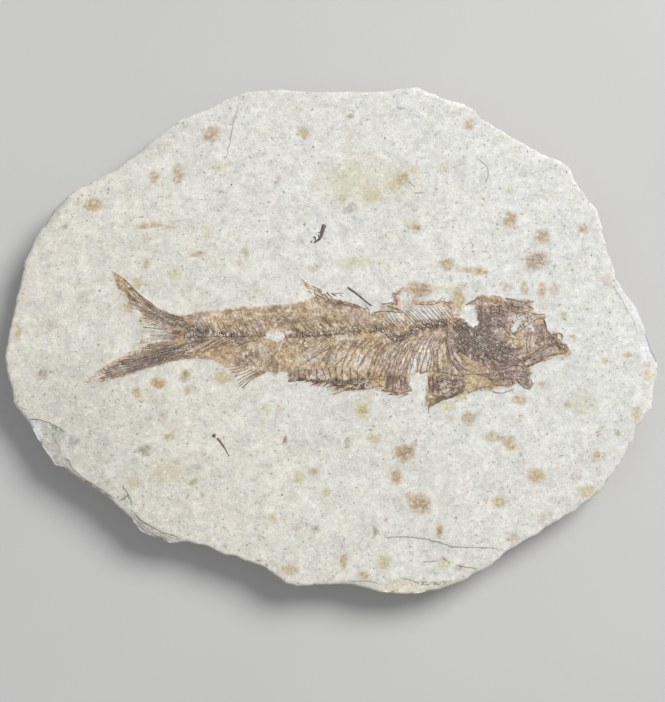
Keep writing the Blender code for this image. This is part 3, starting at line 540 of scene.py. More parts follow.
limestone, shader, place = new_material("limestone_finish")
color, relief = stone_surface(place)
heights = place.node("ShaderNodeSeparateXYZ", {}, {0: place}, "Z")
edge = 1 - step(heights, 0.0088, 0.0093)
bedded = place.node("ShaderNodeMapping", {}, {"Vector": place, "Scale": (1.0, 1.0, 9.0)})
beds = lumps(bedded, 4.5, 4, 0.65)
thin_beds = lumps(bedded, 1.6, 3, 0.6)
bed_stops = [(0.3, rgba((150, 146, 136))), (0.42, rgba((205, 198, 180))), (0.5, rgba((222, 219, 210))),
             (0.58, rgba((186, 183, 175))), (0.68, rgba((228, 222, 200)))]
bed_color = beds.node("ShaderNodeValToRGB", {"stops": bed_stops}, {0: beds})
grain = 0.72 + 0.56 * lumps(place, 0.5, 2, 0.7)
color = blended(color, shaded(bed_color, grain), edge)
under = 1 - step(heights, 0.0003, 0.0007)
dust = step(lumps(place, 9, 5, 0.65), 0.4, 0.62)
under_color = blended((186, 178, 158), (214, 209, 196), dust)
under_color = blended(under_color, (128, 120, 102), step(lumps(place, 2.4, 3), 0.6, 0.75) * 0.5)
color = blended(color, under_color, under * 0.8)
dullness = 0.78 + 0.16 * lumps(place, 1.1, 2)
relief = relief + edge * (1.6 * thin_beds + 1.2 * beds)
feed(shader, color, dullness, bump(relief, 0.5, 0.16), 0.25)

# The rim is felt for on the solid slab, so the finished stone has its outline and its ledges.
slab_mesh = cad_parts["limestone_slab"].data
slab_tree = BVHTree.FromPolygons([vertex.co for vertex in slab_mesh.vertices],
                                 [face.vertices[:] for face in slab_mesh.polygons])


def disc_place(a, b):
    """Where a point of a square from -1 to 1 goes on a disc: its distance out, and its angle."""
    wide = abs(a) > abs(b)
    out = np.where(wide, a, b)
    with np.errstate(divide="ignore", invalid="ignore"):
        turn = np.where(wide, math.pi / 4 * b / a, math.pi / 2 - math.pi / 4 * a / b)
    turn = np.where(out == 0, 0.0, turn)
    return abs(out), np.where(out < 0, turn + math.pi, turn)


def square_rim(last):
    """The rim points of a square grid, counter-clockwise, as pairs of indices."""
    return ([(last, j) for j in range(last)] + [(i, last) for i in range(last, 0, -1)]
            + [(0, j) for j in range(last, 0, -1)] + [(i, 0) for i in range(last)])


rim_pairs = square_rim(FACE_CELLS)
side = np.linspace(-1, 1, FACE_CELLS + 1)
rim_turns = disc_place(*side[np.array(rim_pairs)].T)[1]
rim_way = np.stack([HALF_SIZE[0] * np.cos(rim_turns), HALF_SIZE[1] * np.sin(rim_turns)], 1)


def felt_reach(height):
    """The slab's reach along each rim direction at a height, as a share of the ellipse."""
    reach = []
    for way in rim_way:
        outward = Vector((way[0], way[1], 0.0)).normalized()
        start = outward * CAST_FROM * MM + Vector((0.0, 0.0, height * MM))
        hit = slab_tree.ray_cast(start, -outward)[0]
        reach.append(hit.to_2d().length / MM / math.hypot(*way))
    return np.array(reach)


row_heights = np.linspace(SIDE_FOOT, SIDE_TOP, SIDE_ROWS)
rim_reach = felt_reach(RIM_HEIGHT)
rim_xy = rim_way * rim_reach[:, None]
chips = noise(rim_xy[:, 0], rim_xy[:, 1], 2.3, 51) + 0.6 * noise(rim_xy[:, 0], rim_xy[:, 1], 0.9, 52)
rim_reach = rim_reach * (1 + RIM_CHIP * chips / HALF_SIZE[1])
turn_order = np.argsort(rim_turns % (2 * math.pi))
sorted_turns = (rim_turns % (2 * math.pi))[turn_order]
sorted_reach = rim_reach[turn_order]


def grid_points(cells):
    """Points of a square grid bent to the slab's outline."""
    side = np.linspace(-1, 1, cells + 1)
    out, turn = disc_place(*np.meshgrid(side, side, indexing="ij"))
    reach = np.interp(turn % (2 * math.pi), sorted_turns, sorted_reach, period=2 * math.pi)
    stretch = out * (1 + (reach - 1) * out ** 2)
    return HALF_SIZE[0] * np.cos(turn) * stretch, HALF_SIZE[1] * np.sin(turn) * stretch, out


def grid_faces(first, cells, upward):
    faces = []
    for i in range(cells):
        for j in range(cells):
            a = first + i * (cells + 1) + j
            face = (a, a + cells + 1, a + cells + 2, a + 1)
            faces.append(face if upward else face[::-1])
    return faces


face_x, face_y, face_out = grid_points(FACE_CELLS)
face_z = face_height(face_x, face_y) - flaked_depth(face_x, face_y)
arris = ramp(face_out, 1 - 1.6 / FACE_CELLS, 1) * (0.22 + 0.1 * noise(face_x, face_y, 1.7, 53))
face_z = face_z - arris
slab_points = [np.stack([face_x.ravel(), face_y.ravel(), face_z.ravel()], 1)]
slab_faces = grid_faces(0, FACE_CELLS, True)

rim_count = len(rim_pairs)
rings = [[i * (FACE_CELLS + 1) + j for i, j in rim_pairs]]
next_point = (FACE_CELLS + 1) ** 2
for height in row_heights[::-1]:
    reach = felt_reach(max(height, 0.05))
    x, y = (rim_way * reach[:, None]).T
    turn = np.arctan2(y, x) * 40
    level = np.full(x.shape, height)
    bed = noise(turn / 14, level, 0.55, 54) + 0.5 * noise(turn, level, 0.8, 55)
    crumb = 0.14 * noise(x, y + 7 * height, 1.1, 56) + 0.08 * noise(x, y - 5 * height, 0.6, 57)
    push = (BED_STEP * bed * ramp(level, 0, 1) + crumb - 0.15) / np.hypot(x, y)
    blend_up = ramp(np.array(height), SIDE_TOP - 0.9, SIDE_TOP)
    reach = reach * (1 + push)
    reach = reach + (np.minimum(rim_reach, reach + 0.01) - reach) * blend_up
    x, y = (rim_way * reach[:, None]).T
    z = height + 0.1 * noise(x, y, 3, 58) * ramp(level, 0.3, 1.5)
    slab_points.append(np.stack([x, y, z], 1))
    rings.append(list(range(next_point, next_point + rim_count)))
    next_point += rim_count
for upper, lower in zip(rings, rings[1:]):
    for k in range(rim_count):
        after = (k + 1) % rim_count
        slab_faces.append((lower[k], lower[after], upper[after], upper[k]))

under_x, under_y, under_out = grid_points(UNDERSIDE_CELLS)
under_x, under_y = under_x * UNDERSIDE_SHARE, under_y * UNDERSIDE_SHARE
hollow = 0.16 + 0.22 * noise(under_x, under_y, 17, 61) + 0.1 * noise(under_x, under_y, 6, 62)
under_z = np.clip(hollow, 0, 0.5) * ramp(1 - under_out, 0, 0.06)
slab_points.append(np.stack([under_x.ravel(), under_y.ravel(), under_z.ravel()], 1))
slab_faces += grid_faces(next_point, UNDERSIDE_CELLS, False)
inner = [next_point + i * (UNDERSIDE_CELLS + 1) + j for i, j in square_rim(UNDERSIDE_CELLS)]
outer = rings[-1]
for k in range(len(inner)):
    a, b = inner[k], inner[(k + 1) % len(inner)]
    f = [outer[(4 * k + s) % rim_count] for s in range(5)]
    slab_faces += [(a, f[1], f[0]), (a, f[2], f[1]), (a, b, f[2]), (b, f[3], f[2]), (b, f[4], f[3])]

slab_points = np.concatenate(slab_points)
slab = new_object("limestone_plate", slab_points, slab_faces, limestone)
dress_stone(slab.data, slab_points[:, 0], slab_points[:, 1])
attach(slab, "root")
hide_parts("limestone_slab")


# ------------------------------------------------------------------------------
# The pressed fish. Skin, flesh and bone are flattened to one brown mineral film, thick and granular
# over the skull, thin and tan over the body, and torn through to bare stone in places. It grew into
# the stone, so its edge feathers out and sinks below the face.
# ------------------------------------------------------------------------------
FILM_PITCH = 0.175
FILM_BORDER = 0.75            # how far the sunken border reaches past the outline
FILM_FLOOR = 9.2              # underside of the film, in the stone
FILM_RISE = 0.1

FISH_OUTLINE = (
    # upper tail lobe and tail root
    (-54.9, 16.4), (-52, 14.4), (-49, 11.5), (-46.9, 9.6), (-43.6, 7.2), (-40.8, 5.7), (-37, 5.2),
    # back
    (-34.8, 5.4), (-33.4, 5.9), (-30.8, 6), (-26.5, 6.5), (-22.8, 7.2), (-18, 7.4), (-11.5, 7.9), (-7, 8.4),
    (-5.4, 9.4), (-3.6, 10), (-0.4, 9.9), (1.2, 9.3), (5.7, 8.2), (9.4, 6.4), (10, 5.3), (11, 6.1),
    (12.8, 8.1), (15.4, 8.5), (15.3, 10.8), (18.4, 12.2), (19.8, 12.2), (22.4, 13.4), (25.8, 12.6),
    (28.5, 11.9), (32, 12.2), (33.4, 10.8), (33.4, 8.4), (32.2, 6), (31.4, 4.9), (34.4, 3.2), (35.4, 2),
    (36.8, 2.8), (36.7, 4.6), (36.2, 6), (36.2, 7.4), (33.7, 7.3), (35, 8.6),
    # skull roof and snout
    (36.8, 9.8), (38.2, 10.3), (42.5, 9.7), (46.5, 9.3), (50.9, 8.9), (51.2, 6.3), (53.8, 5.3), (53.7, 3.5),
    (54.6, 0.9), (56.8, 0.8), (58.1, 0.1), (58.1, -1.3), (59.3, -2.3), (60.2, -4.6),
    # jaw and throat
    (59.2, -6), (55.5, -6.1), (52.3, -7.2), (50, -8.2), (50.5, -9.6), (49.7, -10.8), (50.5, -12.2),
    (49.6, -13.6), (47.4, -12.8), (46.2, -12.3), (45.4, -13.6), (41, -14.7), (38, -13.7), (34.5, -14.9),
    # pectoral fin
    (29.5, -16.4), (26.5, -17.4), (24.6, -19.6), (23.3, -17.4), (23.9, -14.9), (24.1, -9.9),
    # belly
    (22.2, -9.7), (20.1, -10.4), (19.5, -11.2), (20.4, -14), (18.2, -15.5), (16.6, -15.9), (14.8, -14.9),
    (12.6, -14.1), (10.9, -13.6), (5.5, -14.1), (1, -15), (-2.2, -14.1), (-0.4, -12.5), (-4.9, -12.9),
    (-4, -11.8), (-9.2, -11.8), (-11, -11.5), (-10.9, -9.5), (-12.4, -9.8), (-13.4, -10.4), (-16, -9),
    # anal fin
    (-19.9, -12), (-21.7, -13.9), (-23.6, -12.7), (-24.6, -9.8), (-26.8, -7.7),
    # tail root and lower tail lobe
    (-29.5, -6.3), (-35, -6), (-40, -6.8), (-46, -8.7), (-52, -10.6), (-57, -12), (-61.6, -12.2),
    # rear edge of the tail
    (-58.6, -9.3), (-55, -7), (-51.8, -5.2), (-47.9, -2.6), (-47, -0.5), (-47.2, 2), (-48.8, 4.8),
    (-50.9, 6.3), (-52, 8.4), (-52.9, 9.9), (-53.9, 13),
)

# Holes where the film split away with the counter slab and bare stone shows: middle, size, turn.
BARE_PATCHES = (
    (-13.2, -0.3, 4.2, 2.7, 0), (-15.8, -0.2, 2.2, 1.5, 0), (-10.4, 0.8, 2.2, 0.9, -5),
    (-48.2, 7.8, 2.2, 1.3, -35), (-6.2, -1.9, 0.7, 2, 8), (1.7, -0.5, 0.9, 1.6, 10),
    (46.2, 2, 1.5, 3.4, -30), (47.8, 4.2, 1.7, 1.1, 30), (49.6, 2.5, 0.7, 4.4, 45),
    (41.5, -1.7, 1.1, 0.4, -8), (-38.2, -4, 2.6, 0.4, 22), (49.2, -7.2, 1.2, 0.5, 30),
    (57.2, -0.5, 0.8, 0.8, 0), (21.2, -7, 1.3, 5.6, -12), (12.6, 0.7, 1.6, 1, 0),
    (25.2, -15.2, 1.3, 0.7, 15), (-44.6, -3, 5, 0.8, 8),
)

FILM_COLORS = {
    "tan": (190, 166, 134), "orange": (190, 160, 121), "ochre": (198, 171, 130), "brown": (154, 126, 103),
    "mauve": (164, 143, 136), "gray": (136, 125, 119), "dark": (106, 90, 84), "black": (74, 63, 60),
    "cream": (228, 218, 200), "pink": (194, 171, 161), "red": (144, 108, 92), "green": (206, 201, 176),
    "umber": (130, 108, 95), "granite": (131, 117, 109), "bone": (214, 199, 181), "olive": (144, 126, 94),
}
# Patches of the film, laid one over the other: middle, size along and across, turn, kind, strength.
FILM_PATCHES = (
    # tail
    (-52, 12.9, 6.5, 3.2, -42, "ochre", 0.9), (-50, 12.6, 9, 1.5, -43, "brown", 0.75),
    (-48.8, 11, 4, 0.9, -43, "dark", 0.5), (-51.2, 8.8, 3, 1.6, -50, "green", 0.6),
    (-48.8, 11, 7, 1.8, -43, "brown", 0.7), (-43.6, 7, 9, 3.2, -33, "mauve", 0.95),
    (-44.6, 7.8, 7, 1.2, -33, "brown", 0.6), (-43, 4.6, 8, 3, -28, "pink", 0.7),
    (-39.4, 3.8, 7, 2.8, -15, "granite", 0.8), (-34.6, 1.4, 6, 2.6, -25, "granite", 0.8),
    (-44, 1, 9, 7, -6, "cream", 0.9), (-41, -1.6, 6, 2.4, 8, "bone", 0.7),
    (-38, 0.4, 4.2, 2.4, 0, "brown", 0.6), (-35.6, 3, 5, 1.6, -24, "dark", 0.5),
    (-36.6, -3.4, 8, 2.2, 18, "granite", 0.7), (-42, -5, 9, 2.4, 12, "granite", 0.8),
    (-46, -6.9, 13, 5, 15, "mauve", 0.95), (-53.6, -9.3, 12, 4.6, 14, "mauve", 0.85),
    (-55.4, -10, 9, 3.4, 14, "bone", 0.4), (-60.4, -11.8, 3.4, 2, 10, "olive", 0.4),
    (-55, -10.9, 9, 0.9, 11, "brown", 0.7), (-50, -5.6, 7, 1.4, 14, "pink", 0.7),
    (-38, -6, 7, 1, 3, "brown", 0.8), (-36.4, 5, 5, 0.7, -3, "dark", 0.7),
    # tail root
    (-33.6, -0.2, 6, 4.4, 0, "granite", 0.9), (-30.6, 1.4, 6, 2.6, -30, "gray", 0.8),
    (-33, 4, 3.6, 2.4, -30, "mauve", 0.7), (-32.8, 5.2, 3.6, 1.4, 0, "pink", 0.6),
    (-31, -4.8, 9, 2.6, -2, "orange", 0.95), (-36, -5.2, 4, 0.9, 0, "brown", 0.5),
    # rear body
    (-27, 4, 9, 4, 0, "orange", 0.85), (-27.4, 5, 4.2, 1.3, 0, "cream", 0.55),
    (-23.6, 4.9, 3.6, 1.2, 0, "cream", 0.45), (-28, 2, 5, 1.6, -8, "tan", 0.6),
    (-20.2, 5.4, 4, 1.6, 0, "mauve", 0.6), (-19, 2.4, 5, 2.8, 0, "pink", 0.65),
    (-21.6, 6.6, 5, 1, 6, "brown", 0.7), (-27, 6, 7, 0.6, 4, "brown", 0.55),
    (-24, 0.3, 14, 1.9, 0, "gray", 0.6), (-24, -0.4, 2.6, 2, 0, "granite", 0.7),
    (-26.5, -4.2, 8, 3.6, -8, "orange", 0.9), (-20, -5.6, 8, 4.4, 0, "mauve", 0.55),
    (-22.5, -2.6, 5, 1.6, 12, "tan", 0.6), (-16.4, -4.8, 4.6, 3.4, 0, "pink", 0.6),
    (-22, -7.2, 6, 1.8, -10, "brown", 0.5), (-21.4, -10.4, 7, 5.4, 24, "cream", 0.85),
    (-14, -7, 3.4, 4.6, 0, "brown", 0.75), (-13.6, -9.2, 2.4, 1.8, 0, "umber", 0.5),
    (-16.2, -1.9, 3, 1, 0, "ochre", 0.6), (-14, 5.2, 8, 4.2, 0, "brown", 0.65),
    (-15.4, 6.8, 4, 1, 0, "mauve", 0.5), (-11, 3.4, 8, 2.2, 0, "umber", 0.6),
    (-9, 6.6, 7, 1.2, 2, "brown", 0.5),
    # middle body
    (-6, 5.6, 7, 3.4, 0, "tan", 0.6), (-4.6, 8.6, 5, 1, 12, "ochre", 0.8),
    (-5.4, 12.9, 4.4, 1.6, -35, "orange", 0.8), (-2.4, 11.4, 4.4, 1.4, -15, "brown", 0.6),
    (0.6, 7.9, 6, 1.8, -4, "umber", 0.65), (5, 7.6, 8, 1.4, -12, "umber", 0.7),
    (1.6, 6.6, 2, 3.4, 0, "brown", 0.65), (6, 5, 6, 3.4, -8, "pink", 0.7),
    (-1.6, 4.4, 6, 3.6, 0, "brown", 0.4), (8.6, 3.2, 3.6, 2.2, 0, "mauve", 0.6),
    (-7.8, 1, 5, 1.6, -8, "brown", 0.6), (-1.5, 0.2, 8, 1.8, 4, "granite", 0.65),
    (4, 1.3, 7, 2.2, 4, "granite", 0.6), (-7.4, -2.6, 7, 3.4, 0, "tan", 0.8),
    (-7.6, -6.4, 6, 4, 0, "ochre", 0.65), (-11.4, -5.6, 3, 6, 0, "orange", 0.7),
    (-1.6, -4.6, 6, 4, 30, "tan", 0.8), (1.4, -5.6, 4, 3, 30, "cream", 0.5),
    (4, -2.8, 5, 3, 0, "brown", 0.6), (7.6, -6.6, 3.8, 5.4, -20, "cream", 0.75),
    (8, -2.6, 5, 2.4, 0, "umber", 0.55), (11, -0.7, 4.6, 1.6, 0, "ochre", 0.55),
    (-9, -10, 4.6, 3, 0, "mauve", 0.85), (-3, -9.8, 5, 3, 0, "mauve", 0.6),
    (-7, -9.2, 2, 1.8, 0, "pink", 0.6), (-2.6, -10, 1.6, 2.4, 0, "pink", 0.6),
    (3.2, -9.6, 5, 3, 0, "tan", 0.6), (3.6, -6, 9, 4.6, 12, "cream", 0.5),
    (-4.6, -5.6, 8, 4.6, 20, "cream", 0.45), (15.6, -6.4, 7, 5, -20, "cream", 0.8),
    (3.8, -8.2, 1.6, 3, -8, "cream", 0.5), (2, -12, 10, 2.4, 0, "dark", 0.95),
    (8.2, -12, 6.4, 2.8, 4, "dark", 0.95), (-8.4, -11.2, 6, 0.9, 0, "black", 0.7),
    (1, -14, 6, 1.2, 6, "ochre", 0.75), (-5, -11.6, 9, 1.4, 0, "dark", 0.7),
    (11.6, -12.2, 3.4, 2.6, 0, "ochre", 0.85), (12, -10.6, 3, 1.4, 0, "orange", 0.6),
    # behind the head
    (16.8, 5.4, 8, 6, 0, "bone", 0.8), (13.6, 7, 5, 1.6, -14, "ochre", 0.7),
    (16.2, 8.8, 2, 3.6, 0, "pink", 0.7), (22.4, 11.5, 7.4, 3.4, 4, "tan", 0.6),
    (21.4, 11.4, 3, 1.6, 20, "brown", 0.35), (24.6, 9.2, 6, 2.2, 0, "ochre", 0.45),
    (28.6, 10.8, 5, 2.4, 0, "green", 0.7), (32, 10, 2.6, 4.6, 0, "ochre", 0.7),
    (30.6, 7, 3.4, 3, -30, "tan", 0.6), (24.6, 5.6, 13, 5, 0, "cream", 0.9),
    (26, 5.6, 8, 3, -18, "cream", 0.6), (11.8, 1.9, 5.4, 2, 0, "granite", 0.85),
    (15.6, 0, 3.8, 2.4, -45, "granite", 0.85), (18, -1, 5, 2.4, 10, "granite", 0.9),
    (22.2, 1.6, 5.6, 2.6, 25, "granite", 0.9), (27.4, 2.7, 6.6, 2.8, 4, "granite", 0.9),
    (13.6, 3.4, 7, 1.8, -20, "cream", 0.65), (18.8, 4.4, 5, 4, -30, "cream", 0.6),
    (26.6, -0.4, 6, 2.4, 0, "cream", 0.6), (19.4, -4.6, 9, 3.4, -20, "cream", 0.5),
    # ribs' skin, belly fan and breast
    (18, -5.6, 13, 9, -15, "bone", 1), (24, -4.6, 9, 9, -15, "bone", 1),
    (13.2, -3.2, 5, 2.6, 10, "brown", 0.7), (17.4, -8, 5, 4, -15, "cream", 0.6),
    (16.6, 4.4, 3.6, 2, -10, "cream", 0.8), (21.6, -6.4, 2.4, 5.6, -12, "cream", 0.7),
    (24.6, -4.4, 7, 7, -20, "cream", 0.8), (27.2, -7.4, 3, 4, -8, "tan", 0.5),
    (30, -2.6, 2.4, 9, -4, "granite", 0.8), (16.6, -12, 5.4, 7, -8, "red", 0.65),
    (14.4, -11.4, 2, 5, 5, "umber", 0.7), (18.6, -12.6, 2.4, 4, 25, "umber", 0.5),
    (16.8, -13, 2.2, 2.6, 0, "pink", 0.35), (28.6, -9, 5, 3, 0, "mauve", 0.75),
    (29.6, -12.4, 10, 6, 0, "granite", 0.8), (25.6, -12.4, 2.6, 4.6, 0, "umber", 0.8),
    (28, -12.4, 3, 1.6, 10, "pink", 0.6), (32.2, -12.6, 1.8, 1.8, 0, "bone", 0.45),
    (29, -15.6, 9, 1.6, 14, "dark", 0.8), (25.2, -17.6, 3.4, 3, 30, "tan", 0.8),
    (25.4, -14.8, 2.2, 1, 10, "bone", 0.7), (35.6, -12.2, 5.4, 4, 20, "ochre", 0.75),
    (38.6, -11.6, 3.4, 1.8, 0, "orange", 0.7), (40, -12.8, 6, 2.4, -4, "orange", 0.7),
    (42.8, -14.1, 5.4, 1.2, 8, "bone", 0.8),
    # gill cover, shoulder and skull
    (44.6, -6.6, 12, 8, 0, "mauve", 1), (41, 5, 12, 9, 0, "mauve", 1),
    (36.6, -1.6, 15, 13, 0, "granite", 1), (41.6, -4.4, 13, 9, -10, "granite", 1),
    (30.2, -1.8, 3, 9, -6, "mauve", 0.85), (31.4, -7.4, 3, 5.4, 38, "mauve", 0.8),
    (32.8, 1.6, 4.6, 5, 0, "dark", 0.85), (33, -3.4, 3.4, 4, 0, "umber", 0.8),
    (38.6, -1, 4.6, 4.6, 0, "gray", 0.5), (35.2, -7.4, 5.6, 2.6, -28, "orange", 0.8),
    (32.8, -5.6, 3, 1.6, -50, "ochre", 0.7), (31.6, -5.6, 4.6, 0.8, -58, "cream", 0.8),
    (39.6, -8.4, 5, 2.2, -12, "red", 0.7), (43, -6, 8, 3.6, 0, "umber", 0.5),
    (46.6, -4.8, 4, 3.4, 0, "mauve", 0.8), (40.6, 4.6, 8, 7, 0, "umber", 0.45),
    (38.4, 6, 3.4, 3, 0, "red", 0.3), (40.4, 9, 6.4, 1.9, -4, "orange", 0.7),
    (42.2, 8.6, 3, 1.4, -10, "red", 0.6), (35.6, 8.4, 4.4, 1.8, 35, "olive", 0.9),
    (38, 7.9, 2.6, 1, 0, "tan", 0.7), (46.8, 7.6, 8, 3, -12, "mauve", 0.7),
    (48.4, 8.4, 5, 1.2, -8, "bone", 0.6), (47.6, 4.6, 5.6, 3.6, -10, "bone", 0.6),
    (46, 1.8, 2.6, 4.4, -25, "bone", 0.6), (51.4, 5.6, 4, 2.2, 20, "pink", 0.8),
    (45.6, -1.7, 4.6, 2.6, -12, "ochre", 0.85), (45.8, -2.4, 2.6, 1.2, -10, "cream", 0.5),
    (51, 0, 7, 7.4, 30, "mauve", 0.9), (50.8, 0, 3, 4.4, 30, "pink", 0.8),
    (50.2, -2.2, 3, 3.6, 10, "bone", 0.5), (53, 1.6, 3, 4.4, 10, "brown", 0.6),
    (52.4, -1.2, 3, 2.4, 20, "umber", 0.7), (54, 2.6, 1.4, 3.4, 24, "umber", 0.85),
    (55, -0.4, 3.6, 2.4, -30, "umber", 0.9), (57.4, -2.6, 4.4, 2.4, -35, "umber", 0.95),
    (54.2, -1.6, 1.6, 1, 0, "pink", 0.6), (52.6, -4.4, 9, 3.4, 26, "mauve", 1),
    (52.4, -5, 7, 2.4, 26, "dark", 0.5), (53, -4.5, 6, 0.8, 26, "pink", 0.8),
    (58, -5.3, 4.4, 1.4, 0, "ochre", 0.8), (44, -10, 12, 3.6, 2, "mauve", 0.9),
    (40.8, -10.6, 3.6, 2.6, 0, "red", 0.5), (48.4, -9.6, 3.6, 2.2, 10, "gray", 0.7),
    (48.6, -12.4, 3.4, 2, 0, "mauve", 0.9), (43.4, -12.1, 5, 1, 0, "pink", 0.5),
)

